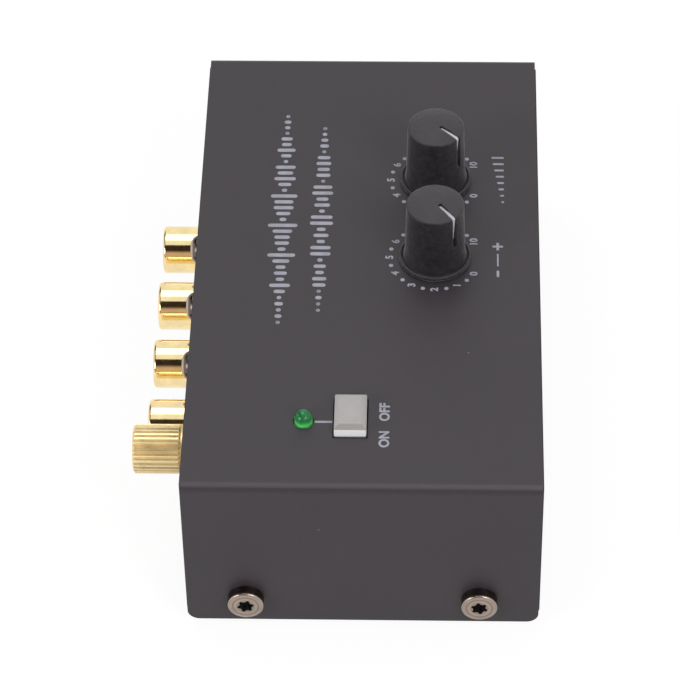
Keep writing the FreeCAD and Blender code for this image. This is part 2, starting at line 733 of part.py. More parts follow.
def make_cover_nuts():
    nut = new_body("cover_nut")
    ring = new_sketch(nut, "YZ_Plane")
    circle(ring, 0, 0, s.clinch_radius)
    circle(ring, 0, 0, thread_radius)
    pad(nut, ring, "YZ_Plane", s.clinch_length, "-")
    group("cover_nuts", nut, [
        (tab_in * i, s.flap_screw_side * j, s.flap_screw_rise,
         Rotation(Vector(0, 0, 1), 0 if i > 0 else 180)) for i in (-1, 1) for j in (-1, 1)])


def make_standoffs(label, length, top, spots):
    """Hexagonal posts that hang from or stand up to the level named top."""
    post = new_body(label + "_post")
    section = new_sketch(post, "XY_Plane")
    hexagon(section, 0, 0, s.standoff_radius)
    circle(section, 0, 0, thread_radius)
    pad(post, section, "XY_Plane", length, "-")
    group(label, post, [(x, y, top, None) for x, y in spots])


def board_spots():
    x, y = board_end - s.bolt_end, board_side - s.bolt_edge
    corner = (board_end - s.corner_bolt_end, board_side - s.corner_bolt_edge)
    return [(0 - x, 0 - y), (x, 0 - y), (0 - x, board_side - s.rear_bolt_edge), corner]


def control_spots():
    end, edge = s.control_bolt_end, s.control_bolt_edge
    return [(x, y) for x in (control_left + end, control_right - end)
            for y in (control_front + edge, control_back - edge)]


def make_board_screws():
    screw = new_body("board_screw")
    profile = new_sketch(screw, "XZ_Plane")
    rise = s.pan_head_height
    outline(profile, [
        (0, 0 - s.board_screw_length), (s.screw_radius, 0 - s.board_screw_length), (s.screw_radius, 0),
        (s.pan_head_radius, 0), (s.pan_head_radius, rise / 2), (s.pan_head_radius - rise / 2, rise), (0, rise)])
    revolve(screw, profile)
    group("board_screws", screw, [(x, y, board_top, None) for x, y in board_spots()])
    over = Rotation(Vector(1, 0, 0), 180)
    group("control_screws", screw, [(x, y, control_under, over) for x, y in control_spots()])


# Circuit boards and what stands on them

def make_main_board():
    body = new_body("main_board")
    plan = new_sketch(body, "XY_Plane")
    edge, side = board_end, board_side
    inner = edge - s.notch_depth
    near_notch = s.flap_screw_side - s.clinch_radius - s.notch_margin
    far_notch = s.flap_screw_side + s.clinch_radius + s.notch_margin
    quarter = [(edge, near_notch), (inner, near_notch), (inner, far_notch), (edge, far_notch), (edge, side)]
    signs = ((1, 1), (-1, 1), (-1, -1), (1, -1))
    points = []
    for i, j in signs:
        corner = [(x * i, y * j) for x, y in quarter]
        points += corner if i * j > 0 else corner[::-1]
    outline(plan, points)
    for x, y in board_spots():
        circle(plan, x, y, free_radius)
    pad(body, plan, "XY_Plane", s.board_thick)
    place(body, z=board_under)


def make_control_board():
    body = new_body("control_board")
    plan = new_sketch(body, "XY_Plane")
    rectangle(plan, control_left, control_front, control_right, control_back)
    for x, y in control_spots():
        circle(plan, x, y, free_radius)
    for i in (-1, 1):
        circle(plan, led_x + s.lead_offset * i, led_y, s.lead_hole)
    pad(body, plan, "XY_Plane", s.board_thick)
    place(body, z=control_under)


def make_board_parts():
    cans = [cylinder("can", s.cap_x + s.cap_pitch * i, s.cap_y + s.cap_row_gap * j, board_top,
                     s.cap_radius, s.cap_height)
            for i in range(3) for j in range(2)]
    collect("electrolytics", cans)
    films = [box("film", s.film_x + s.film_row_gap * i, s.film_y - s.film_pitch * j, board_top,
                 s.film_length, s.film_width, s.film_height)
             for i in range(2) for j in range(3)]
    collect("film_capacitors", films)
    chips = [box("chip", s.chip_x + s.chip_pitch * i, s.chip_y + s.chip_row_gap * j, board_top,
                 s.chip_length, s.chip_width, s.chip_height)
             for i in range(6) for j in range(2)]
    collect("chip_resistors", chips)
    amps = [box("amp", s.amp_pitch * i, s.amp_y, board_top, s.amp_length, s.amp_width, s.amp_height)
            for i in range(2)]
    collect("op_amps", amps)
    x, y, lift = board_end - s.regulator_end, s.regulator_y, board_top + s.regulator_lift
    case = box("regulator_block", x, y, lift, s.regulator_width, s.regulator_depth, s.regulator_case)
    plate = box("regulator_plate", x, y + s.regulator_back, lift,
                s.regulator_width, s.regulator_tab, s.regulator_tall)
    legs = [box("regulator_leg", x + s.leg_pitch * n, y, board_top, s.leg_width, s.leg_thick, s.leg_height)
            for n in (-1, 0, 1)]
    kept.append(join("Part::MultiFuse", "regulator", case, plate, *legs))


def make_ribbon():
    high = control_under - s.header_drop
    low = high - s.ribbon_room
    kept.append(box("main_header", s.header_x, s.header_front, board_top,
                    s.header_length, s.header_width, low - board_top))
    kept.append(box("control_header", s.header_x, control_y, high,
                    s.header_length, s.header_width, s.header_drop))
    body = new_body("ribbon_cable")
    strip = new_sketch(body, "YZ_Plane")
    half, bend = s.ribbon_half, s.ribbon_bend
    middle = (low + high) / 2
    front, back = s.header_front, control_y
    outline(strip, [
        (front + half, low),
        (front + half, middle - bend),
        (front + bend, middle - half, bend - half, "right"),
        (back - bend, middle - half),
        (back + half, middle + bend, bend + half, "left"),
        (back + half, high),
        (back - half, high),
        (back - half, middle + bend),
        (back - bend, middle + half, bend - half, "right"),
        (front + bend, middle + half),
        (front - half, middle - bend, bend + half, "left"),
        (front - half, low)])
    pad(body, strip, "YZ_Plane", s.ribbon_width, both=True)
    place(body, s.header_x)


# Dials

def make_pot_case(label, x):
    body = new_body(label)
    plan = new_sketch(body, "XY_Plane")
    centred(plan, ZERO, ZERO, s.pot_width, s.pot_depth)
    pad(body, plan, "XY_Plane", s.pot_height)
    collar = new_sketch(body, "XY_Plane", s.pot_height)
    circle(collar, 0, 0, s.collar_radius)
    pad(body, collar, "XY_Plane", s.collar_height)
    inside = new_sketch(body, "XY_Plane")
    circle(inside, 0, 0, s.pot_cavity)
    pocket(body, inside, "XY_Plane", s.pot_height - s.switch_roof, "+")
    bore = new_sketch(body, "XY_Plane")
    circle(bore, 0, 0, s.shaft_radius + s.shaft_gap)
    pocket(body, bore, "XY_Plane", toward="+")
    place(body, x, dial_y, control_top)


def knob_base():
    return panel_top + s.knob_lift


def make_pot_shaft(label, x, turn):
    body = new_body(label)
    profile = new_sketch(body, "XZ_Plane")
    top = knob_base() + s.shaft_engage - control_top
    shaft, disc = s.shaft_radius, s.wiper_radius
    gang = (s.pot_height - s.switch_roof) / 2
    points = [(0, s.shaft_floor), (shaft, s.shaft_floor)]
    for start in (gang / 2, gang * 1.5):
        end = start + s.wiper_thick
        points += [(shaft, start), (disc, start), (disc, end), (shaft, end)]
    points += [(shaft, top - s.shaft_chamfer), (shaft - s.shaft_chamfer, top), (0, top)]
    outline(profile, points)
    revolve(body, profile)
    flat = new_sketch(body, "XY_Plane", top)
    past = shaft + s.cut_margin
    rectangle(flat, s.shaft_flat, 0 - past, past, past)
    pocket(body, flat, "XY_Plane", s.shaft_engage + s.knob_lift)
    place(body, x, dial_y, control_top, turn)


def make_knob(label, x, turn):
    """A crowned, tapering knob with a skirt ring and a groove for its pointer."""
    body = new_body(label)
    profile = new_sketch(body, "XZ_Plane")
    skirt, lip, edge = s.skirt_radius, s.skirt_height, s.knob_edge
    foot, groove = s.knob_foot_radius, s.skirt_groove
    top_z = s.knob_height
    crown_span = s.knob_top_radius - edge
    crown_radius = (crown_span * crown_span + s.knob_crown * s.knob_crown) / (s.knob_crown * 2)
    outline(profile, [
        (0, 0), (skirt, 0), (skirt, lip - s.skirt_chamfer), (skirt - s.skirt_chamfer, lip),
        (foot + groove, lip),
        (foot + groove / 2, lip - groove), (foot, lip),
        (s.knob_flare_radius, s.knob_flare_height),
        (s.knob_top_radius, top_z - edge),
        (crown_span, top_z, edge, "left"),
        (0, top_z + s.knob_crown, crown_radius, "left")])
    revolve(body, profile)
    bore = new_sketch(body, "XY_Plane")
    radius, flat = s.shaft_radius + s.shaft_gap, s.shaft_flat + s.shaft_gap
    reach = root(radius * radius - flat * flat)
    outline(bore, [(flat, reach), (0 - radius, 0, radius, "left"), (flat, 0 - reach, radius, "left")])
    pocket(body, bore, "XY_Plane", s.shaft_engage + s.bore_spare, "+")
    groove_sketch = new_sketch(body, "XZ_Plane")
    outer, above = s.skirt_radius, s.knob_height + s.knob_crown + s.cut_margin
    outline(groove_sketch, pointer_floor(0) + [
        (outer, s.pointer_foot), (outer, above), (s.pointer_start, above)])
    pocket(body, groove_sketch, "XZ_Plane", s.pointer_width, both=True)
    place(body, x, dial_y, knob_base(), turn)


def pointer_floor(rise):
    """The floor of the pointer's groove from its inner end over the edge to its foot, raised by rise."""
    shoulder_r = s.knob_top_radius - s.pointer_depth / 2 + rise
    shoulder_z = s.knob_height - s.pointer_depth / 2 + rise
    return [
        (s.pointer_start, s.knob_height + s.knob_crown - s.pointer_depth + rise),
        (shoulder_r, shoulder_z),
        (shoulder_r - s.pointer_lean, s.pointer_foot)]


def make_pointer(label, x, turn):
    """The white insert that lies on the floor of the knob's groove."""
    body = new_body(label)
    profile = new_sketch(body, "XZ_Plane")
    outline(profile, pointer_floor(0) + pointer_floor(s.pointer_thick)[::-1])
    pad(body, profile, "XZ_Plane", s.pointer_width - s.shaft_gap, both=True)
    place(body, x, dial_y, knob_base(), turn)


def make_dials():
    for name, x, turned in (("level", level_x, s.level_turn), ("volume", volume_x, s.volume_turn)):
        turn = Rotation(Vector(0, 0, 1), 90 - turned.value)
        make_pot_case(name + "_pot_case", x)
        make_pot_shaft(name + "_pot_shaft", x, turn)
        make_knob(name + "_knob", x, turn)
        make_pointer(name + "_pointer", x, turn)


# Lamp and power button

def make_lamp():
    body = new_body("led_lens")
    profile = new_sketch(body, "XZ_Plane")
    straight = s.led_height - s.led_radius
    rim = s.lead_side * 2
    outline(profile, [(0, 0), (s.led_flange, 0), (s.led_flange, rim), (s.led_radius, rim),
                      (s.led_radius, straight), (0, s.led_height, s.led_radius, "left")])
    revolve(body, profile)
    base = panel_top + s.led_rise - s.led_height
    place(body, led_x, led_y, base)
    low = control_under - s.lead_tail
    wires = [box("lead", led_x + s.lead_offset * i, led_y, low, s.lead_side, s.lead_side, base - low)
             for i in (-1, 1)]
    collect("led_leads", wires)
    spacer = cylinder("spacer_body", led_x, led_y, control_top, s.spacer_radius, base - control_top)
    slot = box("spacer_slot", led_x, led_y, control_top - s.cut_margin,
               s.spacer_slot, s.lead_hole * 2, base - control_top + s.cut_margin * 2)
    kept.append(join("Part::Cut", "led_spacer", spacer, slot))


def make_switch():
    case = new_body("switch_case")
    plan = new_sketch(case, "XY_Plane")
    centred(plan, ZERO, ZERO, s.switch_side, s.switch_side)
    pad(case, plan, "XY_Plane", s.switch_height)
    inside = new_sketch(case, "XY_Plane")
    circle(inside, 0, 0, s.switch_cavity)
    pocket(case, inside, "XY_Plane", s.switch_height - s.switch_roof, "+")
    guide = new_sketch(case, "XY_Plane")
    hole = s.plunger_side + s.plunger_gap * 2
    centred(guide, ZERO, ZERO, hole, hole)
    pocket(case, guide, "XY_Plane", toward="+")
    place(case, button_x, button_y, control_top)

    plunger = new_body("switch_plunger")
    disc = new_sketch(plunger, "XY_Plane")
    circle(disc, 0, 0, s.collar_disc)
    pad(plunger, disc, "XY_Plane", s.collar_disc_height)
    stem = new_sketch(plunger, "XY_Plane", s.collar_disc_height)
    centred(stem, ZERO, ZERO, s.plunger_side, s.plunger_side)
    disc_low = control_top + s.switch_height - s.switch_roof - s.plunger_gap - s.collar_disc_height
    stem_top = button_under + s.plunger_socket
    pad(plunger, stem, "XY_Plane", stem_top - disc_low - s.collar_disc_height)
    place(plunger, button_x, button_y, disc_low)

    coil = doc.addObject("Part::Helix", "spring_path")
    wire = s.spring_wire
    spring_height = disc_low - control_top - wire * 2 - s.plunger_gap
    bind(coil, "Radius", s.spring_radius)
    bind(coil, "Height", spring_height)
    bind(coil, "Pitch", spring_height / SPRING_TURNS)
    section = doc.addObject("Part::RegularPolygon", "spring_section")
    section.Polygon = 4
    bind(section, "Circumradius", wire)
    section.Placement = Placement(Vector(s.spring_radius.value, 0, 0), Rotation(Vector(1, 0, 0), 90))
    section.setExpression("Placement.Base.x", s.spring_radius.text)
    spring = doc.addObject("Part::Sweep", "switch_spring")
    spring.Sections = [section]
    spring.Spine = (coil, ["Edge1"])
    spring.Solid = True
    spring.Frenet = True
    place(spring, button_x, button_y, control_top + wire + s.plunger_gap / 2)


def make_button():
    body = new_body("power_button")
    cap = new_sketch(body, "XY_Plane")
    height = panel_top + s.button_rise - button_under
    centred(cap, ZERO, ZERO, s.button_length, s.button_width)
    pad(body, cap, "XY_Plane", height)
    dress(body, "Chamfer", s.button_chamfer, lambda e: near(e.BoundBox.ZMin, height))
    rim = new_sketch(body, "XY_Plane")
    grown = (s.button_gap + s.button_rim) * 2
    centred(rim, ZERO, ZERO, s.button_length + grown, s.button_width + grown)
    pad(body, rim, "XY_Plane", s.collar_disc_height)
    socket = new_sketch(body, "XY_Plane")
    hole = s.plunger_side + s.plunger_gap
    centred(socket, ZERO, ZERO, hole, hole)
    pocket(body, socket, "XY_Plane", s.plunger_socket + s.plunger_gap, "+")
    place(body, button_x, button_y, button_under)


# Rear sockets

def make_rca_housing():
    body = new_body("rca_housing")
    last = rca_places[-1]
    block = new_sketch(body, "XZ_Plane", wall_in)
    rectangle(block, last - s.block_margin, board_top, rca_x + s.block_margin,
              s.rca_rise + s.barrel_radius + s.block_roof)
    pad(body, block, "XZ_Plane", s.block_depth, "-")
    ears = new_sketch(body, "XZ_Plane", wall_in)
    for x in ear_places:
        circle(ears, x, ear_z, s.ear_radius)
    pad(body, ears, "XZ_Plane", s.ear_depth, "-")
    beds = new_sketch(body, "XZ_Plane", wall_in)
    for x in rca_places:
        circle(beds, x, s.rca_rise, s.barrel_radius - s.barrel_step + s.barrel_seat)
    pocket(body, beds, "XZ_Plane", s.rca_bed, "-")
    pilots = new_sketch(body, "XZ_Plane", wall_in)
    for x in ear_places:
        circle(pilots, x, ear_z, thread_radius)
    pocket(body, pilots, "XZ_Plane", s.ear_depth, "-")
    place(body)


def turned_about_y(label, points, x, z, y):
    body = new_body(label)
    profile = new_sketch(body, "XY_Plane")
    outline(profile, points)
    revolve(body, profile)
    place(body, x, y, z)


def make_rca_sockets():
    root_y = 0 - s.sheet_thick - s.rca_bed
    tip = half_width + s.rca_reach - wall_out
    outer, inner = s.barrel_radius, s.barrel_radius - s.barrel_wall
    bedded = outer - s.barrel_step
    round_r = s.barrel_round
    face = tip - s.insulator_recess
    contact_out = s.contact_bore + s.contact_wall
    for n, x in enumerate(rca_places, start=1):
        turned_about_y("rca_barrel_%d" % n, [
            (inner, root_y), (bedded, root_y), (bedded, 0), (outer, 0), (outer, tip - round_r),
            (outer - round_r, tip, round_r, "left"), (inner, tip)], x, s.rca_rise, wall_out)
        turned_about_y("rca_insulator_%d" % n, [
            (contact_out + s.barrel_seat, root_y), (inner - s.barrel_seat, root_y),
            (inner - s.barrel_seat, face), (contact_out + s.barrel_seat, face)], x, s.rca_rise, wall_out)
        turned_about_y("rca_contact_%d" % n, [
            (s.contact_bore, root_y), (contact_out, root_y), (contact_out, face - s.contact_recess),
            (s.contact_bore, face - s.contact_recess)], x, s.rca_rise, wall_out)


def make_rca_screws():
    screw = new_body("rca_screw")
    profile = new_sketch(screw, "XY_Plane")
    rise, radius = s.rear_head_height, s.rear_head_radius
    outline(profile, [
        (0, 0 - s.rear_screw_length), (s.screw_radius, 0 - s.rear_screw_length), (s.screw_radius, 0),
        (radius, 0), (radius, rise / 3), (radius / 2, rise, rise, "left"), (0, rise)])
    revolve(screw, profile)
    cross = new_sketch(screw, "XZ_Plane", rise)
    arm, half = s.cross_span / 2, s.cross_width / 2
    outline(cross, [(arm, 0 - half), (arm, half), (half, half), (half, arm), (0 - half, arm), (0 - half, half),
                    (0 - arm, half), (0 - arm, 0 - half), (0 - half, 0 - half), (0 - half, 0 - arm),
                    (half, 0 - arm), (half, 0 - half)])
    pocket(screw, cross, "XZ_Plane", s.cross_depth, "-")
    group("rca_screws", screw, [(x, wall_out, ear_z, Rotation(Vector(0, 1, 0), twist))
                                for x, twist in zip(ear_places, REAR_SCREW_TWISTS)])


def make_trs_socket():
    body = new_body("trs_housing")
    half = s.trs_side / 2
    block = new_sketch(body, "XZ_Plane", wall_in)
    rectangle(block, 0 - half, 0 - s.trs_rise, half, s.trs_tall - s.trs_rise)
    pad(body, block, "XZ_Plane", s.trs_depth, "-")
    nose = new_sketch(body, "XZ_Plane", wall_in)
    circle(nose, 0, 0, s.trs_nose)
    pad(body, nose, "XZ_Plane", s.sheet_thick + s.trs_proud, "+")
    bore = new_sketch(body, "XZ_Plane", wall_in - s.trs_depth)
    circle(bore, 0, 0, s.trs_bore)
    pocket(body, bore, "XZ_Plane", toward="+")
    mouth = new_sketch(body, "XZ_Plane", wall_out + s.trs_proud)
    circle(mouth, 0, 0, s.trs_bore + s.sleeve_wall)
    pocket(body, mouth, "XZ_Plane", s.sleeve_length, "-")
    place(body, trs_x, 0, trs_z)
    outer = s.trs_bore + s.sleeve_wall - s.sleeve_gap
    turned_about_y("trs_sleeve", [
        (s.trs_bore, 0 - s.sleeve_length), (outer, 0 - s.sleeve_length), (outer, 0),
        (s.trs_bore + s.sleeve_chamfer, 0), (s.trs_bore, 0 - s.sleeve_chamfer)],
        trs_x, trs_z, wall_out + s.trs_proud)
    springs = new_body("trs_spring")
    leaf = new_sketch(springs, "YZ_Plane")
    thick, high, dip = s.leaf_thick, s.leaf_rise, s.leaf_dip
    low = 0 - s.trs_rise
    start = 0 - s.leaf_run
    bottom, end = start - s.leaf_slope, start - s.leaf_slope * 2
    outline(leaf, [(0, low), (0, high), (start, high), (bottom, dip + thick), (end, high),
                   (end, high - thick), (bottom, dip), (start, high - thick),
                   (0 - thick, high - thick), (0 - thick, low)])
    pad(springs, leaf, "YZ_Plane", s.trs_side / 6, both=True)
    group("trs_springs", springs, [(trs_x + s.trs_side / 4 * i, wall_in - s.trs_depth, trs_z, None)
                                   for i in (-1, 1)])


def make_dc_socket():
    body = new_body("dc_housing")
    half = s.dc_side / 2
    block = new_sketch(body, "XZ_Plane", wall_in)
    rectangle(block, 0 - half, 0 - s.dc_rise, half, s.dc_tall - s.dc_rise)
    pad(body, block, "XZ_Plane", s.dc_depth, "-")
    nose = new_sketch(body, "XZ_Plane", wall_in)
    circle(nose, 0, 0, s.dc_nose)
    pad(body, nose, "XZ_Plane", s.sheet_thick, "+")
    bore = new_sketch(body, "XZ_Plane", wall_out)
    circle(bore, 0, 0, s.dc_bore)
    pocket(body, bore, "XZ_Plane", s.dc_bore_depth, "-")
    seat = new_sketch(body, "XZ_Plane", wall_out - s.dc_bore_depth)
    circle(seat, 0, 0, s.dc_pin_radius - s.dc_pin_step)
    pocket(body, seat, "XZ_Plane", s.dc_pin_root, "-")
    slot = new_sketch(body, "XZ_Plane", wall_out)
    slot_floor = 0 - s.dc_bore - s.dc_slot_depth
    rectangle(slot, 0 - s.dc_slot_half, slot_floor, s.dc_slot_half, 0 - s.dc_bore + s.dc_slot_depth)
    pocket(body, slot, "XZ_Plane", s.dc_bore_depth, "-")
    place(body, dc_x, 0, dc_z)
    floor = 0 - s.dc_bore_depth
    tip = 0 - s.dc_pin_recess
    pin, nib = s.dc_pin_radius, s.dc_pin_radius / 2
    base = pin - s.dc_pin_step
    turned_about_y("dc_pin", [
        (0, floor - s.dc_pin_root), (base, floor - s.dc_pin_root), (base, floor), (pin, floor),
        (pin, tip - nib), (nib, tip, nib, "left"), (0, tip)], dc_x, dc_z, wall_out)
    kept.append(box("dc_spring", dc_x, wall_out - s.dc_bore_depth / 2, dc_z + slot_floor,
                    s.dc_spring_width, s.dc_bore_depth - s.dc_spring_short, s.dc_spring_thick))


# Ground post

def make_ground_post():
    outer_end = half_width + s.ground_reach - wall_out
    head_y = 0 - s.sheet_thick - s.stud_head_height
    spigot = head_y - s.lug_thick - s.inner_nut_height - s.stud_tail
    post, end = s.stud_radius, outer_end - s.stud_recess
    turned_about_y("ground_stud", [
        (0, spigot), (post, spigot), (post, head_y), (s.stud_head, head_y),
        (s.stud_head, 0 - s.sheet_thick), (post, 0 - s.sheet_thick),
        (post, end - s.stud_chamfer), (post - s.stud_chamfer, end), (0, end)],
        ground_x, s.ground_rise, wall_out)
    bore = s.stud_radius + s.stud_gap
    turned_about_y("ground_washer", [
        (bore, 0), (s.washer_radius, 0), (s.washer_radius, s.washer_thick), (bore, s.washer_thick)],
        ground_x, s.ground_rise, wall_out)

    lug = new_body("ground_lug")
    plan = new_sketch(lug, "XZ_Plane")
    circle(plan, 0, 0, s.lug_radius)
    pad(lug, plan, "XZ_Plane", s.lug_thick, "-")
    tail = new_sketch(lug, "XZ_Plane")
    rectangle(tail, 0 - s.wire_radius * 2, 0 - s.lug_tail, s.wire_radius * 2, 0 - s.stud_radius)
    pad(lug, tail, "XZ_Plane", s.lug_thick, "-")
    hole = new_sketch(lug, "XZ_Plane")
    circle(hole, 0, 0, bore)
    pocket(lug, hole, "XZ_Plane", both=True)
    place(lug, ground_x, wall_out + head_y, s.ground_rise)

    nut = new_body("ground_inner_nut")
    section = new_sketch(nut, "XZ_Plane")
    hexagon(section, 0, 0, s.inner_nut)
    circle(section, 0, 0, bore)
    pad(nut, section, "XZ_Plane", s.inner_nut_height, "-")
    place(nut, ground_x, wall_out + head_y - s.lug_thick, s.ground_rise)

    wire = new_body("ground_wire")
    section = new_sketch(wire, "XY_Plane")
    circle(section, 0, 0, s.wire_radius)
    path = new_sketch(wire, "YZ_Plane")
    bend, drop = s.wire_bend, s.ground_rise - s.lug_tail - board_top
    start = s.wire_joint
    low = 0 - drop
    level = low + bend
    outline(path, [(0, start), (0, level + bend), (0 - bend, level, bend, "right"),
                   (bend - s.wire_run, level), (0 - s.wire_run, low, bend, "left")], closed=False)
    pipe = wire.newObject("PartDesign::AdditivePipe", "ground_wire_pipe")
    pipe.Profile = section
    section.setExpression("AttachmentOffset.Base.z", start.text)
    pipe.Spine = (path, ["Edge%d" % n for n in range(1, 5)])
    place(wire, ground_x, wall_out + head_y - s.lug_thick - s.wire_radius, s.ground_rise - s.lug_tail)


def make_thumb_nut():
    """A straight-knurled nut: one groove cut in a turned blank, then repeated round its axis."""
    body = new_body("ground_thumb_nut")
    blank = new_sketch(body, "XY_Plane")
    length = half_width + s.ground_reach - wall_out - s.washer_thick
    bore, edge = s.stud_radius + s.stud_gap, s.thumb_chamfer
    radius = s.thumb_radius
    outline(blank, [(bore, 0), (radius - edge, 0), (radius, edge), (radius, length - edge),
                    (radius - edge, length), (bore, length)])
    revolve(body, blank)
    groove = new_sketch(body, "XZ_Plane")
    outline(groove, [(0, radius - s.knurl_depth), (0 - s.knurl_half, radius + s.knurl_reach),
                     (s.knurl_half, radius + s.knurl_reach)])
    cut = pocket(body, groove, "XZ_Plane", toward="+")
    pattern = body.newObject("PartDesign::PolarPattern", "knurl")
    pattern.Originals = [cut]
    pattern.Axis = (next(f for f in body.Origin.OriginFeatures if f.Role == "Y_Axis"), [""])
    pattern.Angle = 360
    pattern.Occurrences = KNURLS
    body.Tip = pattern
    place(body, ground_x, wall_out + s.washer_thick, s.ground_rise)


def check_and_export():
    doc.recompute()
    for thing in doc.Objects:
        if {"Invalid", "Error"} & set(thing.State):
            raise RuntimeError("%s failed: %s" % (thing.Label, thing.State))
    os.makedirs("parts", exist_ok=True)
    for thing in kept:
        if thing.Shape.isNull() or not thing.Shape.isValid() or not thing.Shape.Solids:
            raise RuntimeError("%s has no valid solid" % thing.Label)
    for thing in kept:
        thing.Shape.exportStep("parts/%s.step" % thing.Label)
    print(len(kept), "nodes written")


make_cover()
make_tray()
make_feet()
make_cover_screws()
make_cover_nuts()
make_standoffs("board_standoffs", s.standoff_height, board_under, board_spots())
make_standoffs("control_standoffs", s.control_drop, panel_under, control_spots())
make_board_screws()
make_main_board()
make_control_board()
make_board_parts()
make_ribbon()
make_dials()
make_lamp()
make_switch()
make_button()
make_rca_housing()
make_rca_sockets()
make_rca_screws()
make_trs_socket()
make_dc_socket()
make_ground_post()
make_thumb_nut()
check_and_export()
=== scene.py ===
import math
import random

import bmesh
import bpy
from mathutils import Matrix, Vector


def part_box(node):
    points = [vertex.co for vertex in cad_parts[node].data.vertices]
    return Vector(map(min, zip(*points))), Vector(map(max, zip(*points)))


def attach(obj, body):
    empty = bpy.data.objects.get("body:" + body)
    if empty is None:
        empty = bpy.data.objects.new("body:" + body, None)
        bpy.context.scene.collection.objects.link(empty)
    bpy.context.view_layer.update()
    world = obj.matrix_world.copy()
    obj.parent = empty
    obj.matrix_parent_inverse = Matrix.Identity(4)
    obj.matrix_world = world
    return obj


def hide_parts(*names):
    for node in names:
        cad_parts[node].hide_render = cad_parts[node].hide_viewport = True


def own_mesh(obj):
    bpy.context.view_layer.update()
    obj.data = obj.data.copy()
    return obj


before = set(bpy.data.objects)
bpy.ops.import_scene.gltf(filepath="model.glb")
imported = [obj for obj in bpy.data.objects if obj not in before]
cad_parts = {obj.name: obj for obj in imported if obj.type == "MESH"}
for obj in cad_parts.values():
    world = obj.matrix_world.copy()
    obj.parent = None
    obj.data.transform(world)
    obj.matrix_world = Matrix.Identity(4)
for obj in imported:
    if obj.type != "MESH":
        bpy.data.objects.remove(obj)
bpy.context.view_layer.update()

bl_info = {
    "name": "Phono preamp looks",
    "version": (1, 0, 0),
    "blender": (4, 5, 0),
    "location": "3D View > Sidebar > Phono preamp",
    "description": "Paint, plating, panel print and studio for a small desktop phono preamp",
    "category": "Object",
}

# Everything is in metres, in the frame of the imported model.
MM = 0.001
PANEL_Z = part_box("top_cover")[1].z
CASE_MIDDLE_Y = (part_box("top_cover")[0].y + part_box("top_cover")[1].y) / 2
SOCKETS = range(1, 5)
DIALS = ("level", "volume")


def middle(node):
    low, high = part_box(node)
    return (low + high) / 2


def panel_point(x, y):
    """A point on the panel, given in millimetres from the middle of the cover."""
    return Vector((x * MM, y * MM + CASE_MIDDLE_Y, PANEL_Z))


# Settings

class PreampColours(bpy.types.PropertyGroup):
    cover: bpy.props.FloatVectorProperty(
        name="Cover paint", description="Satin powder coat of the cover", subtype="COLOR",
        default=(0.0380, 0.0313, 0.0372), min=0, max=1)
    tray: bpy.props.FloatVectorProperty(
        name="Tray paint", description="Darker paint of the tray", subtype="COLOR",
        default=(0.026, 0.022, 0.025), min=0, max=1)
    ink: bpy.props.FloatVectorProperty(
        name="Print", description="Ink of the scales and signs", subtype="COLOR",
        default=(0.42, 0.42, 0.49), min=0, max=1)
    knob: bpy.props.FloatVectorProperty(
        name="Knobs", description="Soft-touch black of both dials", subtype="COLOR",
        default=(0.0215, 0.0185, 0.0220), min=0, max=1)
    pointer: bpy.props.FloatVectorProperty(
        name="Pointers", description="White line in each knob", subtype="COLOR",
        default=(0.72, 0.73, 0.80), min=0, max=1)
    button: bpy.props.FloatVectorProperty(
        name="Button", description="Grey plastic of the power button", subtype="COLOR",
        default=(0.47, 0.45, 0.445), min=0, max=1)
    lamp: bpy.props.FloatVectorProperty(
        name="Lamp", description="Tint of the clear green lamp", subtype="COLOR",
        default=(0.03, 0.60, 0.19), min=0, max=1)
    gilt: bpy.props.FloatVectorProperty(
        name="Gilt", description="Plating of the phono sockets and the ground post", subtype="COLOR",
        default=(0.98, 0.78, 0.42), min=0, max=1)
    nickel: bpy.props.FloatVectorProperty(
        name="Nickel", description="Plating of the screws", subtype="COLOR",
        default=(0.43, 0.345, 0.29), min=0, max=1)


class PreampSizes(bpy.types.PropertyGroup):
    ink_thick: bpy.props.FloatProperty(
        name="Ink thickness", description="How far the print stands on the panel",
        subtype="DISTANCE", unit="LENGTH", default=0.02 * MM, min=0.005 * MM, max=0.1 * MM)
    scale_radius: bpy.props.FloatProperty(
        name="Scale radius", description="Circle of dots and numbers round each dial",
        subtype="DISTANCE", unit="LENGTH", default=7.69 * MM, min=6.5 * MM, max=9 * MM)
    dot_radius: bpy.props.FloatProperty(
        name="Dot radius", description="Dots of the dial scales",
        subtype="DISTANCE", unit="LENGTH", default=0.37 * MM, min=0.1 * MM, max=1 * MM)
    number_height: bpy.props.FloatProperty(
        name="Number height", description="Numbers of the dial scales",
        subtype="DISTANCE", unit="LENGTH", default=1.25 * MM, min=0.5 * MM, max=3 * MM)
    line_width: bpy.props.FloatProperty(
        name="Line width", description="Printed lines",
        subtype="DISTANCE", unit="LENGTH", default=0.45 * MM, min=0.1 * MM, max=1 * MM)
    button_corner: bpy.props.FloatProperty(
        name="Button corner", description="Rounding of the button's upright corners",
        subtype="DISTANCE", unit="LENGTH", default=0.22 * MM, min=0.1 * MM, max=1 * MM)


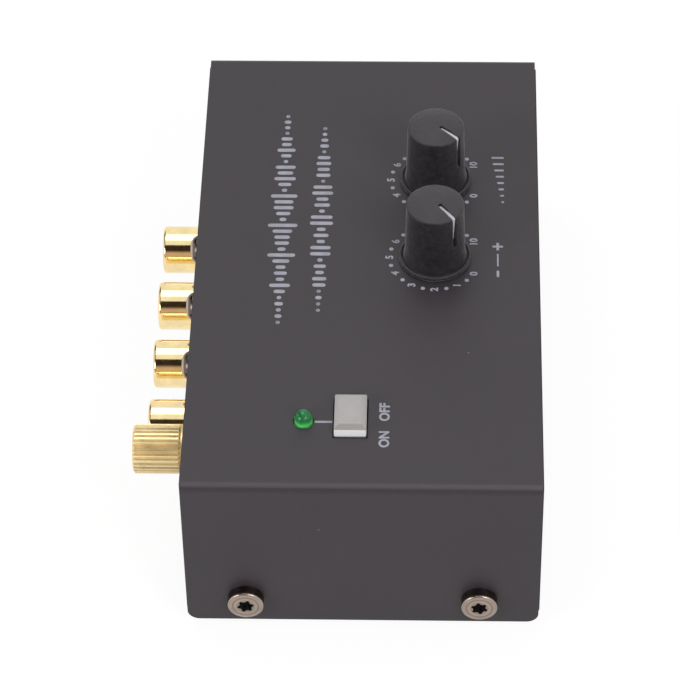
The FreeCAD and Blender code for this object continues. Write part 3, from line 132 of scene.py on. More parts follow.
class PreampStage(bpy.types.PropertyGroup):
    camera_place: bpy.props.FloatVectorProperty(
        name="Camera", description="Where the camera stands", subtype="XYZ", unit="LENGTH",
        default=(-0.42944, -0.01644, 0.45792))
    camera_forward: bpy.props.FloatVectorProperty(
        name="View direction", description="Where the camera looks", subtype="XYZ",
        default=(0.69610, 0.02748, -0.71742))
    camera_up: bpy.props.FloatVectorProperty(
        name="Up in the picture", description="Direction that is up in the picture", subtype="XYZ",
        default=(0.71750, 0.00790, 0.69650))
    lens: bpy.props.FloatProperty(
        name="Lens", description="Focal length on a 36 mm sensor, in millimetres",
        default=187.59, min=20, max=400)
    top_power: bpy.props.FloatProperty(
        name="Top lamp", description="Soft box over the object", subtype="POWER", unit="POWER",
        default=2.9, min=0, max=100)
    side_power: bpy.props.FloatProperty(
        name="Side lamps", description="Soft boxes left and right of the camera", subtype="POWER",
        unit="POWER", default=4.5, min=0, max=100)
    fill: bpy.props.FloatProperty(
        name="Fill", description="Even light from all round", default=0.34, min=0, max=1)


# Shader trees: every node is added with its settings and its inputs, a number or a link.

def add(tree, kind, settings=None, inputs=None):
    node = tree.nodes.new("ShaderNode" + kind)
    for name, value in (settings or {}).items():
        setattr(node, name, value)
    for name, value in (inputs or {}).items():
        if isinstance(value, bpy.types.NodeSocket):
            tree.links.new(value, node.inputs[name])
        else:
            node.inputs[name].default_value = value
    return node


def maths(tree, operation, *values):
    node = add(tree, "Math", {"operation": operation}, dict(enumerate(values)))
    return node.outputs[0]


def blend_colours(tree, share, first, second, way="MIX"):
    node = add(tree, "Mix", {"data_type": "RGBA", "blend_type": way}, {0: share, 6: first, 7: second})
    return node.outputs[2]


def spread(tree, value, low, high):
    """Turns a value from 0 to 1 into one from low to high."""
    node = add(tree, "MapRange", None, {"Value": value, "To Min": low, "To Max": high})
    return node.outputs[0]


def rgba(colour, times=1.0):
    return (*[min(part * times, 1.0) for part in colour], 1.0)


def new_group(name, inputs, outputs):
    """A node group with float sockets, except Position and Axis, which are vectors."""
    tree = bpy.data.node_groups.new(name, "ShaderNodeTree")
    for way, sockets in (("INPUT", inputs), ("OUTPUT", outputs)):
        for socket, value in sockets.items():
            kind = "NodeSocketVector" if socket in ("Position", "Axis") else "NodeSocketFloat"
            made = tree.interface.new_socket(socket, in_out=way, socket_type=kind)
            if value is not None:
                made.default_value = value
    return tree, tree.nodes.new("NodeGroupInput").outputs, tree.nodes.new("NodeGroupOutput").inputs


def make_grain():
    """Fine grain of paint or moulding, and the slow drift of tone over a large face."""
    tree, given, result = new_group(
        "Grain", {"Position": (0, 0, 0), "Grain per metre": 4000.0, "Drift per metre": 40.0},
        {"Height": None, "Drift": None})
    fine = add(tree, "TexNoise", None, {"Vector": given["Position"], "Scale": given["Grain per metre"],
                                        "Detail": 2.0, "Roughness": 0.6})
    slow = add(tree, "TexNoise", None, {"Vector": given["Position"], "Scale": given["Drift per metre"],
                                        "Detail": 3.0, "Roughness": 0.55})
    for noise, socket in ((fine, "Height"), (slow, "Drift")):
        clear = add(tree, "MapRange", None, {"Value": noise.outputs[0], "From Min": 0.30, "From Max": 0.70})
        tree.links.new(clear.outputs[0], result[socket])
    return tree


def make_edge_wear_and_highlight():
    """Mask of the edges, broken up by noise; where it is used, it lightens the edges as edge wear and as painted
    highlight.
    """
    tree, given, result = new_group(
        "Edge wear and highlight", {"Position": (0, 0, 0), "Width": 0.0002, "Break-up per metre": 900.0, "Amount": 0.5},
        {"Mask": None})
    bevel = add(tree, "Bevel", {"samples": 6}, {"Radius": given["Width"]})
    flat = add(tree, "NewGeometry")
    same = add(tree, "VectorMath", {"operation": "DOT_PRODUCT"},
               {0: bevel.outputs[0], 1: flat.outputs["Normal"]})
    edge = maths(tree, "SUBTRACT", 1.0, same.outputs["Value"])
    wide = add(tree, "MapRange", None, {"Value": edge, "From Min": 0.02, "From Max": 0.22})
    noise = add(tree, "TexNoise", None, {"Vector": given["Position"], "Scale": given["Break-up per metre"],
                                         "Detail": 3.0})
    broken = add(tree, "MapRange", None, {"Value": noise.outputs[0], "From Min": 0.38, "From Max": 0.62})
    mask = maths(tree, "MULTIPLY", wide.outputs[0], broken.outputs[0])
    tree.links.new(maths(tree, "MULTIPLY", mask, given["Amount"]), result["Mask"])
    return tree


def make_dust_and_top_sheen():
    """A thin film on faces that look up, partly dust and partly painted top sheen, and a few stray dust specks."""
    tree, given, result = new_group(
        "Dust and top sheen", {"Position": (0, 0, 0), "Film": 0.3, "Specks per metre": 260.0, "Share of specks": 0.06},
        {"Film": None, "Specks": None})
    face = add(tree, "SeparateXYZ", None, {0: add(tree, "NewGeometry").outputs["Normal"]})
    # The film lightens faces that look up: partly dust, partly painted top sheen.
    upward = maths(tree, "POWER", maths(tree, "MAXIMUM", face.outputs["Z"], 0.0), 2.0)
    cloud = add(tree, "TexNoise", None, {"Vector": given["Position"], "Scale": 350.0, "Detail": 4.0})
    film = maths(tree, "MULTIPLY", upward, spread(tree, cloud.outputs[0], 0.55, 1.0))
    tree.links.new(maths(tree, "MULTIPLY", film, given["Film"]), result["Film"])
    cells = add(tree, "TexVoronoi", None, {"Vector": given["Position"], "Scale": given["Specks per metre"]})
    near = add(tree, "MapRange", None, {"Value": cells.outputs["Distance"], "From Min": 0.03,
                                        "From Max": 0.06, "To Min": 1.0, "To Max": 0.0})
    chosen = add(tree, "SeparateColor", None, {0: cells.outputs["Color"]})
    kept = maths(tree, "LESS_THAN", chosen.outputs[0], given["Share of specks"])
    tree.links.new(maths(tree, "MULTIPLY", near.outputs[0], kept), result["Specks"])
    return tree


def make_turning():
    """Fine rings left by a lathe, round the given axis."""
    tree, given, result = new_group(
        "Turning", {"Position": (0, 0, 0), "Axis": (0, 1, 0), "Rings per metre": 9000.0}, {"Height": None})
    along = add(tree, "VectorMath", {"operation": "DOT_PRODUCT"}, {0: given["Position"], 1: given["Axis"]})
    lines = add(tree, "TexNoise", {"noise_dimensions": "1D"},
                {"W": along.outputs["Value"], "Scale": given["Rings per metre"], "Detail": 2.0})
    tree.links.new(lines.outputs[0], result["Height"])
    return tree


GROUP_MAKERS = {"Grain": make_grain, "Edge wear and highlight": make_edge_wear_and_highlight, "Dust and top sheen": make_dust_and_top_sheen, "Turning": make_turning}


def effect(tree, name, **values):
    """Places a shared effect in a material; a name_with_underscores stands for the socket's words."""
    shared = bpy.data.node_groups.get(name) or GROUP_MAKERS[name]()
    node = tree.nodes.new("ShaderNodeGroup")
    node.node_tree = shared
    for socket, value in values.items():
        words = socket.replace("_", " ")
        if isinstance(value, bpy.types.NodeSocket):
            tree.links.new(value, node.inputs[words])
        else:
            node.inputs[words].default_value = value
    return node.outputs


def new_material(name):
    material = bpy.data.materials.new(name)
    material.use_nodes = True
    tree = material.node_tree
    shader = tree.nodes["Principled BSDF"]
    place = add(tree, "TexCoord").outputs["Object"]
    return material, tree, shader, place


def set_shader(shader, **values):
    for name, value in values.items():
        shader.inputs[name.replace("_", " ")].default_value = value


def wire(tree, shader, **links):
    for name, link in links.items():
        tree.links.new(link, shader.inputs[name.replace("_", " ")])


def bump(tree, height, distance, strength=1.0, normal=None):
    inputs = {"Height": height, "Distance": distance, "Strength": strength}
    if normal is not None:
        inputs["Normal"] = normal
    return add(tree, "Bump", None, inputs).outputs[0]


def powder_coat(name, colour, dusty):
    """Satin paint with a fine orange peel, lighter edges (partly polished paint, partly painted highlight), a
    painted highlight along the upper part of each bend, and a little dust whose film on upward faces is also a
    painted top sheen.
    """
    material, tree, shader, place = new_material(name)
    grain = effect(tree, "Grain", Position=place, Grain_per_metre=5200.0, Drift_per_metre=38.0)
    wear = effect(tree, "Edge wear and highlight", Position=place, Width=0.00035, Amount=0.30)
    dust = effect(tree, "Dust and top sheen", Position=place, Film=dusty, Specks_per_metre=230.0, Share_of_specks=0.035)
    slow = blend_colours(tree, grain["Drift"], rgba(colour, 0.92), rgba(colour, 1.08))
    base = blend_colours(tree, grain["Height"], rgba(colour, 0.72), rgba(colour, 1.28))
    base = blend_colours(tree, 0.5, base, slow)
    # Painted highlight: faces tilted about 6 to 52 degrees from level, the upper part of each bend, are lightened
    # for the light the bend catches.
    facing = add(tree, "SeparateXYZ", None, {0: add(tree, "TexCoord").outputs["Normal"]}).outputs["Z"]
    leaving = add(tree, "MapRange", None, {"Value": facing, "From Min": 0.995, "From Max": 0.93})
    steep = add(tree, "MapRange", None, {"Value": facing, "From Min": 0.62, "From Max": 0.80})
    bend = maths(tree, "MULTIPLY", leaving.outputs[0], steep.outputs[0])
    bend_painted_highlight = blend_colours(tree, bend, base, rgba(colour, 2.1))
    # Lighter edges: partly polished paint, partly painted highlight.
    worn_and_highlit = blend_colours(tree, wear["Mask"], bend_painted_highlight, rgba(colour, 1.9))
    # Up-facing film: partly dust, partly painted top sheen.
    dust_and_sheen_tinted = blend_colours(tree, dust["Film"], worn_and_highlit, (0.30, 0.285, 0.30, 1))
    specked = blend_colours(tree, dust["Specks"], dust_and_sheen_tinted, (0.22, 0.21, 0.21, 1))
    rough = spread(tree, grain["Height"], 0.40, 0.52)
    wire(tree, shader, Base_Color=specked, Roughness=rough,
         Normal=bump(tree, grain["Height"], 0.000022, 0.6))
    set_shader(shader, Specular_IOR_Level=0.36)
    return material


def plating(name, colour, axis, roughness, rings=0.0000010, stained=0.85):
    """Bright plating over a turned part, with lathe rings and faint stains."""
    material, tree, shader, place = new_material(name)
    turned = effect(tree, "Turning", Position=place, Axis=axis, Rings_per_metre=7000.0)
    grain = effect(tree, "Grain", Position=place, Grain_per_metre=2500.0, Drift_per_metre=420.0)
    stain = blend_colours(tree, grain["Drift"], rgba(colour, stained), rgba(colour, 1.03))
    rough = spread(tree, grain["Drift"], roughness * 0.75, roughness * 1.35)
    wire(tree, shader, Base_Color=stain, Roughness=rough, Normal=bump(tree, turned["Height"], rings, 0.6))
    set_shader(shader, Metallic=1.0)
    return material


def screw_plating(name, colour, node, way, pitch, recess_radius, recess_depth):
    """Nickel screws in a row: bright turned faces, darker sides of the head, and painted shade in the driver
    recess.

    way is the letter of the screws' axis; pitch is the distance from screw to screw along the other
    level axis, which starts at the node's first screw.
    """
    low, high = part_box(node)
    reach = high.x if way == "X" else high.y
    across = "Y" if way == "X" else "X"
    head = (high.z - low.z) / 2
    first = (low.y if way == "X" else low.x) + head
    material, tree, shader, place = new_material(name)
    parts = add(tree, "SeparateXYZ", None, {0: place}).outputs
    under = maths(tree, "SUBTRACT", reach, maths(tree, "ABSOLUTE", parts[way]))
    beside = maths(tree, "WRAP", maths(tree, "SUBTRACT", parts[across], first), pitch / 2, -pitch / 2)
    above = maths(tree, "SUBTRACT", parts["Z"], (low.z + high.z) / 2)
    flat = add(tree, "CombineXYZ", None, {"X": beside, "Y": above}).outputs[0]
    radius = add(tree, "VectorMath", {"operation": "LENGTH"}, {0: flat}).outputs["Value"]
    inside = maths(tree, "MULTIPLY", maths(tree, "LESS_THAN", radius, recess_radius),
                   maths(tree, "GREATER_THAN", under, recess_depth))
    side = maths(tree, "MULTIPLY", maths(tree, "GREATER_THAN", radius, head * 0.80),
                 add(tree, "MapRange", None, {"Value": under, "From Min": 0.30 * MM,
                                              "From Max": 0.55 * MM}).outputs[0])
    rings = add(tree, "TexNoise", {"noise_dimensions": "1D"}, {"W": radius, "Scale": 2600.0, "Detail": 3.0})
    grain = effect(tree, "Grain", Position=place, Grain_per_metre=2500.0, Drift_per_metre=500.0)
    base = blend_colours(tree, grain["Drift"], rgba(colour, 0.80), rgba(colour, 1.10))
    lines = add(tree, "MapRange", None, {"Value": rings.outputs[0], "From Min": 0.35, "From Max": 0.60})
    ringed = blend_colours(tree, lines.outputs[0], rgba(colour, 0.52), base)
    # The sides of the head are darkened.
    sided = blend_colours(tree, side, ringed, rgba(colour, 0.27))
    # Painted shade: the driver recess is near black and not metallic.
    recess_painted_shade = blend_colours(tree, inside, sided, (0.004, 0.0035, 0.003, 1))
    dull = maths(tree, "MAXIMUM", inside, spread(tree, grain["Drift"], 0.20, 0.36))
    wire(tree, shader, Base_Color=recess_painted_shade, Roughness=dull, Normal=bump(tree, rings.outputs[0], 0.000006, 0.5),
         Metallic=maths(tree, "SUBTRACT", 1.0, inside))
    return material


def moulding(name, colour, roughness, grain_size=3200.0, depth=0.000010, film=0.0, specular=0.4,
             soft_edge=None, blotch=0.12, drift=160.0,
             wear_and_highlight_gain=1.5, wear_and_highlight_width=0.00022, sheen=0.0):
    """Moulded plastic or rubber with a fine spark-eroded texture; soft_edge rounds its edges in the light. Its
    edges are lighter, as edge wear and, on the knobs, as a painted rim highlight; faces that look up take a film
    that is partly dust and partly painted top sheen.
    """
    material, tree, shader, place = new_material(name)
    grain = effect(tree, "Grain", Position=place, Grain_per_metre=grain_size, Drift_per_metre=drift)
    wear = effect(tree, "Edge wear and highlight", Position=place, Width=wear_and_highlight_width, Amount=min(wear_and_highlight_gain / 4, 0.8))
    dust = effect(tree, "Dust and top sheen", Position=place, Film=film, Specks_per_metre=500.0, Share_of_specks=0.02)
    base = blend_colours(tree, grain["Drift"], rgba(colour, 1 - blotch), rgba(colour, 1 + blotch))
    # Lighter edges: edge wear, and on the knobs a painted rim highlight.
    worn_and_highlit = blend_colours(tree, wear["Mask"], base, rgba(colour, wear_and_highlight_gain))
    # Up-facing film: partly dust, partly painted top sheen, strongest on the knobs.
    dust_and_sheen_tinted = blend_colours(tree, dust["Film"], worn_and_highlit, (0.34, 0.315, 0.345, 1))
    specked = blend_colours(tree, dust["Specks"], dust_and_sheen_tinted, rgba(colour, 1.8))
    rough = spread(tree, grain["Drift"], roughness - 0.05, roughness + 0.06)
    rounded = None
    if soft_edge:
        rounded = add(tree, "Bevel", {"samples": 6}, {"Radius": soft_edge}).outputs[0]
    wire(tree, shader, Base_Color=specked, Roughness=rough,
         Normal=bump(tree, grain["Height"], depth, 0.5, rounded))
    set_shader(shader, Specular_IOR_Level=specular, Sheen_Weight=sheen, Sheen_Roughness=0.35)
    return material


def board_material():
    """Green solder mask over etched tracks and a ground plane."""
    material, tree, shader, place = new_material("Solder mask")
    grain = effect(tree, "Grain", Position=place, Grain_per_metre=6000.0, Drift_per_metre=90.0)
    tracks = add(tree, "TexBrick", {"offset": 0.35}, {
        "Vector": place, "Scale": 380.0, "Mortar Size": 0.03, "Brick Width": 0.8, "Row Height": 0.28})
    mask = blend_colours(tree, tracks.outputs["Fac"], (0.012, 0.11, 0.045, 1), (0.02, 0.19, 0.075, 1))
    drifted = blend_colours(tree, grain["Drift"], mask, (0.015, 0.15, 0.06, 1))
    wire(tree, shader, Base_Color=drifted, Roughness=spread(tree, grain["Height"], 0.22, 0.34),
         Normal=bump(tree, tracks.outputs["Fac"], 0.00003, 0.5))
    return material


def ribbon_material():
    """Grey ribbon cable: round cores side by side, with painted shade in the grooves between them."""
    material, tree, shader, place = new_material("Ribbon")
    across = add(tree, "SeparateXYZ", None, {0: place}).outputs["X"]
    core = maths(tree, "ABSOLUTE", maths(tree, "SINE", maths(tree, "MULTIPLY", across, math.pi / 0.00127)))
    grain = effect(tree, "Grain", Position=place, Grain_per_metre=3000.0, Drift_per_metre=120.0)
    # Painted shade: the grooves between the cores are darker.
    base = blend_colours(tree, core, (0.10, 0.10, 0.105, 1), (0.30, 0.30, 0.31, 1))
    wire(tree, shader, Base_Color=base, Roughness=spread(tree, grain["Height"], 0.4, 0.55),
         Normal=bump(tree, core, 0.0002, 0.8))
    return material


def ink_material(colour):
    """Screen-printed ink: nearly even, with pinholes and a dry edge."""
    material, tree, shader, place = new_material("Panel print")
    grain = effect(tree, "Grain", Position=place, Grain_per_metre=7000.0, Drift_per_metre=600.0)
    base = blend_colours(tree, grain["Drift"], rgba(colour, 0.86), rgba(colour, 1.12))
    wire(tree, shader, Base_Color=base, Roughness=spread(tree, grain["Height"], 0.5, 0.65),
         Normal=bump(tree, grain["Height"], 0.000006, 0.5))
    set_shader(shader, Specular_IOR_Level=0.3)
    return material


def clear_lamp(colour):
    """Clear tinted resin of the lamp, with a few moulding marks."""
    material, tree, shader, place = new_material("Lamp resin")
    soft = [part ** 0.4 for part in colour]
    grain = effect(tree, "Grain", Position=place, Grain_per_metre=1500.0, Drift_per_metre=500.0)
    wire(tree, shader, Roughness=spread(tree, grain["Drift"], 0.01, 0.04),
         Normal=bump(tree, grain["Drift"], 0.00001, 0.25),
         Base_Color=blend_colours(tree, grain["Drift"], rgba(soft, 0.94), rgba(soft, 1.04)))
    set_shader(shader, Transmission_Weight=1.0, IOR=1.45, Metallic=0.0)
    return material


def lamp_heart(colour):
    """The cloudy green plastic inside the lamp: deep above, with a painted highlight and a faint painted glow near
    the panel.
    """
    material, tree, shader, place = new_material("Lamp heart")
    grain = effect(tree, "Grain", Position=place, Grain_per_metre=4000.0, Drift_per_metre=900.0)
    height = add(tree, "SeparateXYZ", None, {0: place}).outputs["Z"]
    low = add(tree, "MapRange", {"interpolation_type": "SMOOTHSTEP"}, {
        "Value": height, "From Min": PANEL_Z + 0.05 * MM, "From Max": PANEL_Z + 1.25 * MM,
        "To Min": 1.0, "To Max": 0.0})
    deep = blend_colours(tree, grain["Drift"], rgba(colour, 0.28), rgba(colour, 0.42))
    # Painted highlight near the panel.
    lit = blend_colours(tree, low.outputs[0], deep, (0.50, 1.0, 0.45, 1))
    # Painted glow, strongest at the panel.
    painted_glow_mask = maths(tree, "POWER", low.outputs[0], 3.0)
    glow = blend_colours(tree, painted_glow_mask, (0, 0, 0, 1), (0.30, 1.0, 0.22, 1))
    wire(tree, shader, Base_Color=lit, Emission_Color=glow, Roughness=spread(tree, grain["Height"], 0.3, 0.5))
    set_shader(shader, Emission_Strength=0.14)
    return material


def kept_material(name, maker, *values, **more):
    """Makes a material on first use and finds it again afterwards."""
    return bpy.data.materials.get(name) or maker(name, *values, **more)


# Meshes

def finish_nodes(material, *names):
    """Gives CAD nodes a better material; their meshes stay as packed."""
    for name in names:
        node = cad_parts[name]
        node.data.materials.clear()
        node.data.materials.append(material)


def new_piece(name, mesh, material, body, smooth=False):
    for polygon in mesh.polygons:
        polygon.use_smooth = smooth
    mesh.materials.clear()
    mesh.materials.append(material)
    piece = bpy.data.objects.new(name, mesh)
    bpy.context.scene.collection.objects.link(piece)
    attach(piece, body)
    return piece


def mesh_from(name, shape):
    mesh = bpy.data.meshes.new(name)
    bmesh.ops.recalc_face_normals(shape, faces=shape.faces)
    shape.to_mesh(mesh)
    shape.free()
    return mesh


def raise_outline(shape, points, thick):
    """Adds a flat plate with this outline, given low and counter-clockwise, as thick as the ink."""
    low = [shape.verts.new(point) for point in points]
    high = [shape.verts.new(Vector(point) + Vector((0, 0, thick))) for point in points]
    shape.faces.new(high)
    shape.faces.new(low[::-1])
    for i in range(len(points)):
        after = (i + 1) % len(points)
        shape.faces.new((low[i], low[after], high[after], high[i]))


def ring_points(centre, radius, count=28, start=0.0, end=2 * math.pi):
    whole = abs(end - start - 2 * math.pi) < 1e-6
    steps = count if whole else count - 1
    return [centre + Vector((radius * math.cos(a), radius * math.sin(a), 0))
            for a in (start + (end - start) * i / steps for i in range(count))]


def bar_points(start, end, width):
    """A straight printed line with rounded ends."""
    way = (end - start).normalized()
    side = math.atan2(way.y, way.x)
    half = width / 2
    return (ring_points(end - way * half, half, 8, side - math.pi / 2, side + math.pi / 2)
            + ring_points(start + way * half, half, 8, side + math.pi / 2, side + math.pi * 1.5))


def arc_band(shape, centre, radius, width, start, end, thick, count=40):
    """A printed arc, as one closed band."""
    outer = ring_points(centre, radius + width / 2, count, start, end)
    inner = ring_points(centre, radius - width / 2, count, start, end)[::-1]
    raise_outline(shape, outer + inner, thick)


def add_text(shape, words, centre, height, thick, bold=0.045):
    """Adds printed figures, upright for a reader at the front, centred on a point."""
    curve = bpy.data.curves.new("figures", "FONT")
    curve.body = words
    curve.size = height / 0.70
    curve.align_x, curve.align_y = "CENTER", "CENTER"
    curve.resolution_u = 6
    curve.offset = height * bold
    curve.extrude = thick / 2
    carrier = bpy.data.objects.new("figures", curve)
    bpy.context.scene.collection.objects.link(carrier)
    bpy.context.view_layer.update()
    mesh = bpy.data.meshes.new_from_object(carrier)
    mesh.transform(Matrix.Translation(centre + Vector((0, 0, thick / 2))))
    shape.from_mesh(mesh)
    bpy.data.objects.remove(carrier)
    bpy.data.curves.remove(curve)
    bpy.data.meshes.remove(mesh)


def rounded_rectangle(half_x, half_y, corner, z, steps=6):
    points = []
    for quarter, (i, j) in enumerate(((1, 1), (-1, 1), (-1, -1), (1, -1))):
        centre = Vector((i * (half_x - corner), j * (half_y - corner), z))
        start = quarter * math.pi / 2
        points += ring_points(centre, corner, steps, start, start + math.pi / 2)
    return points


def loft(shape, rings, close_top=True):
    """Joins rings of equal length with faces, from the bottom up."""
    rows = [[shape.verts.new(point) for point in ring] for ring in rings]
    count = len(rings[0])
    for low, high in zip(rows, rows[1:]):
        for i in range(count):
            after = (i + 1) % count
            shape.faces.new((low[i], low[after], high[after], high[i]))
    shape.faces.new(rows[0][::-1])
    if close_top:
        shape.faces.new(rows[-1])


def turned_shape(profile, centre, count=48):
    """Turns a profile of (radius, height) round Z; a radius of 0 closes it."""
    shape = bmesh.new()
    rows = []
    for radius, height in profile:
        if radius == 0:
            rows.append([shape.verts.new(centre + Vector((0, 0, height)))])
        else:
            rows.append([shape.verts.new(p) for p in
                         ring_points(centre + Vector((0, 0, height)), radius, count)])
    for low, high in zip(rows, rows[1:]):
        for i in range(count):
            after = (i + 1) % count
            if len(low) == 1:
                shape.faces.new((low[0], high[after], high[i]))
            elif len(high) == 1:
                shape.faces.new((low[i], low[after], high[0]))
            else:
                shape.faces.new((low[i], low[after], high[after], high[i]))
    return shape


# Operators, one for each group of pieces

class PreampCase(bpy.types.Operator):
    """Paint the cover and the tray"""
    bl_idname = "preamp.case"
    bl_label = "Case paint"

    def execute(self, context):
        colours = context.scene.preamp_colours
        finish_nodes(powder_coat("Cover paint", colours.cover, 0.035), "top_cover")
        finish_nodes(powder_coat("Tray paint", colours.tray, 0.02), "base_tray")
        finish_nodes(moulding("Foot rubber", (0.016, 0.016, 0.017), 0.75, 1800.0, 0.00002), "feet")
        return {"FINISHED"}


class PreampScales(bpy.types.Operator):
    """Print dots and the numbers 0 to 10 round both dials"""
    bl_idname = "preamp.scales"
    bl_label = "Dial scales"

    def execute(self, context):
        sizes = context.scene.preamp_sizes
        ink = bpy.data.materials.get("Panel print") or ink_material(context.scene.preamp_colours.ink)
        for dial in DIALS:
            axis = middle(dial + "_knob")
            shape = bmesh.new()
            for step in range(21):
                turn = math.radians(-150 + 15 * step)
                spot = Vector((axis.x + sizes.scale_radius * math.sin(turn),
                               axis.y + sizes.scale_radius * math.cos(turn), PANEL_Z))
                if step % 2:
                    raise_outline(shape, ring_points(spot, sizes.dot_radius, 20), sizes.ink_thick)
                else:
                    add_text(shape, str(step // 2), spot, sizes.number_height, sizes.ink_thick)
            new_piece(dial + "_scale_print", mesh_from(dial + "_scale_print", shape), ink,
                      "chassis")
        return {"FINISHED"}


class PreampSigns(bpy.types.Operator):
    """Print generic signs: a signal trace, level and volume signs, ON and OFF, and the lamp's line"""
    bl_idname = "preamp.signs"
    bl_label = "Panel signs"

    trace_rows = ((14.7, -14.9, 36.2, 5.6), (8.05, -12.0, 33.1, 4.9))
    trace_pitch = 1.46
    line_from_button = 2.95
    line_from_lamp = 1.75
    line_aside = 0.2

    def plus_points(self, centre, reach, half):
        """Outline of a plus sign."""
        arm = ((reach, -half), (reach, half), (half, half))
        points = []
        for quarter in range(4):
            turn = Matrix.Rotation(quarter * math.pi / 2, 3, "Z")
            points += [centre + turn @ Vector((x, y, 0)) for x, y in arm]
        return points

    def trace(self, shape, thick, width):
        """Two rows of bars whose heights swell and fade, like two channels of a signal."""
        for row, (y, start, end, tall) in enumerate(self.trace_rows):
            count = int((end - start) / self.trace_pitch) + 1
            for i in range(count):
                share = i / (count - 1)
                swell = math.sin(math.pi * share) ** 0.6
                wave = 0.55 + 0.45 * math.sin(i * 1.9 + row * 2.4) * math.cos(i * 0.57 + row)
                half = max(tall / 2 * swell * wave, 0.35)
                x = start + share * (end - start)
                raise_outline(shape, bar_points(panel_point(x, y - half), panel_point(x, y + half), width), thick)

    def execute(self, context):
        sizes = context.scene.preamp_sizes
        ink = bpy.data.materials.get("Panel print") or ink_material(context.scene.preamp_colours.ink)
        thick, width = sizes.ink_thick, sizes.line_width
        shape = bmesh.new()
        self.trace(shape, thick, width * 1.8)
        new_piece("signal_trace_print", mesh_from("signal_trace_print", shape), ink, "chassis")

        # Volume: bars that grow. Level: minus, a line and plus.
        shape = bmesh.new()
        for i in range(8):
            x = 14.6 + i * 1.6
            raise_outline(shape, bar_points(panel_point(x, -23.4), panel_point(x, -22.9 + 0.24 * i), width), thick)
        new_piece("volume_sign_print", mesh_from("volume_sign_print", shape), ink, "chassis")
        shape = bmesh.new()
        raise_outline(shape, bar_points(panel_point(-3.8, -22.2), panel_point(-2.2, -22.2), width), thick)
        raise_outline(shape, bar_points(panel_point(-1.2, -22.2), panel_point(1.8, -22.2), width * 0.6), thick)
        raise_outline(shape, self.plus_points(panel_point(3.6, -22.2), 0.9 * MM, width / 2), thick)
        new_piece("level_sign_print", mesh_from("level_sign_print", shape), ink, "chassis")

        shape = bmesh.new()
        add_text(shape, "ON", panel_point(-41.2, -3.6), 1.6 * MM, thick, 0.05)
        add_text(shape, "OFF", panel_point(-35.2, -3.6), 1.6 * MM, thick, 0.05)
        new_piece("switch_words_print", mesh_from("switch_words_print", shape), ink, "chassis")

        shape = bmesh.new()
        button, lamp = middle("power_button"), middle("led_lens")
        near = button.y + self.line_from_button * MM
        far = lamp.y - self.line_from_lamp * MM
        line_x = lamp.x - self.line_aside * MM
        raise_outline(shape, bar_points(Vector((line_x, near, PANEL_Z)), Vector((line_x, far, PANEL_Z)),
                                        width), thick)
        new_piece("lamp_line_print", mesh_from("lamp_line_print", shape), ink, "chassis")
        return {"FINISHED"}


class PreampDials(bpy.types.Operator):
    """Finish both knobs, their pointers, shafts and potentiometers"""
    bl_idname = "preamp.dials"
    bl_label = "Dials"

    # Floor of the knob's groove: distance from the axis and height over the knob's underside.
    floor = ((0.95, 12.22), (3.2, 12.16), (4.40, 12.02), (4.53, 11.86), (4.50, 11.4), (4.12, 6.9))
    turns = {"level": -132.0, "volume": -142.5}
    line_thick = 0.10
    line_sides = (-0.33, 0.19)

    def pointer(self, dial, white):
        """The white line: a thin strip on the groove's floor, with the groove's dark wall beside it."""
        axis, base = middle(dial + "_knob"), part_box(dial + "_knob")[0].z
        turn = math.radians(self.turns[dial])
        out = Vector((math.sin(turn), math.cos(turn), 0))
        side = Vector((out.y, -out.x, 0))
        shape = bmesh.new()
        rows = []
        for i, (radius, height) in enumerate(self.floor):
            before = Vector(self.floor[max(i - 1, 0)])
            after = Vector(self.floor[min(i + 1, len(self.floor) - 1)])
            along = (after - before).normalized()
            lift = Vector((-along.y, along.x)) * self.line_thick
            row = []
            for raised in (0, 1):
                r, h = radius + raised * lift.x, height + raised * lift.y
                for edge in self.line_sides:
                    spot = out * (r * MM) + side * (edge * MM)
                    row.append(shape.verts.new(Vector((axis.x, axis.y, base + h * MM)) + spot))
            rows.append(row)
        for a, b in zip(rows, rows[1:]):
            for j, k in ((0, 1), (1, 3), (3, 2), (2, 0)):
                shape.faces.new((a[j], a[k], b[k], b[j]))
        shape.faces.new([rows[0][j] for j in (0, 1, 3, 2)])
        shape.faces.new([rows[-1][j] for j in (0, 1, 3, 2)])
        name = dial + "_pointer_line"
        line = new_piece(name, mesh_from(name, shape), white, dial + "_dial")
        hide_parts(dial + "_pointer")

    def execute(self, context):
        colours = context.scene.preamp_colours
        # On the knobs the film of 0.14 is partly dust and partly painted top sheen, and the edge gain of 3.2 is
        # mostly a painted rim highlight.
        knob = moulding("Knob", colours.knob, 0.50, 1900.0, 0.00008, 0.14, 0.28, 0.00026, 0.38, 1100.0,
                        3.2, 0.00055, 0.45)
        white = moulding("Pointer", colours.pointer, 0.45, 6000.0, 0.000004, 0.0, 0.3)
        finish_nodes(knob, "level_knob", "volume_knob")
        for dial in DIALS:
            self.pointer(dial, white)
        finish_nodes(plating("Shaft", (0.66, 0.66, 0.67), (0, 0, 1), 0.32),
                     "level_pot_shaft", "volume_pot_shaft")
        finish_nodes(plating("Zinc", (0.55, 0.56, 0.58), (0, 0, 1), 0.4),
                     "level_pot_case", "volume_pot_case")
        return {"FINISHED"}


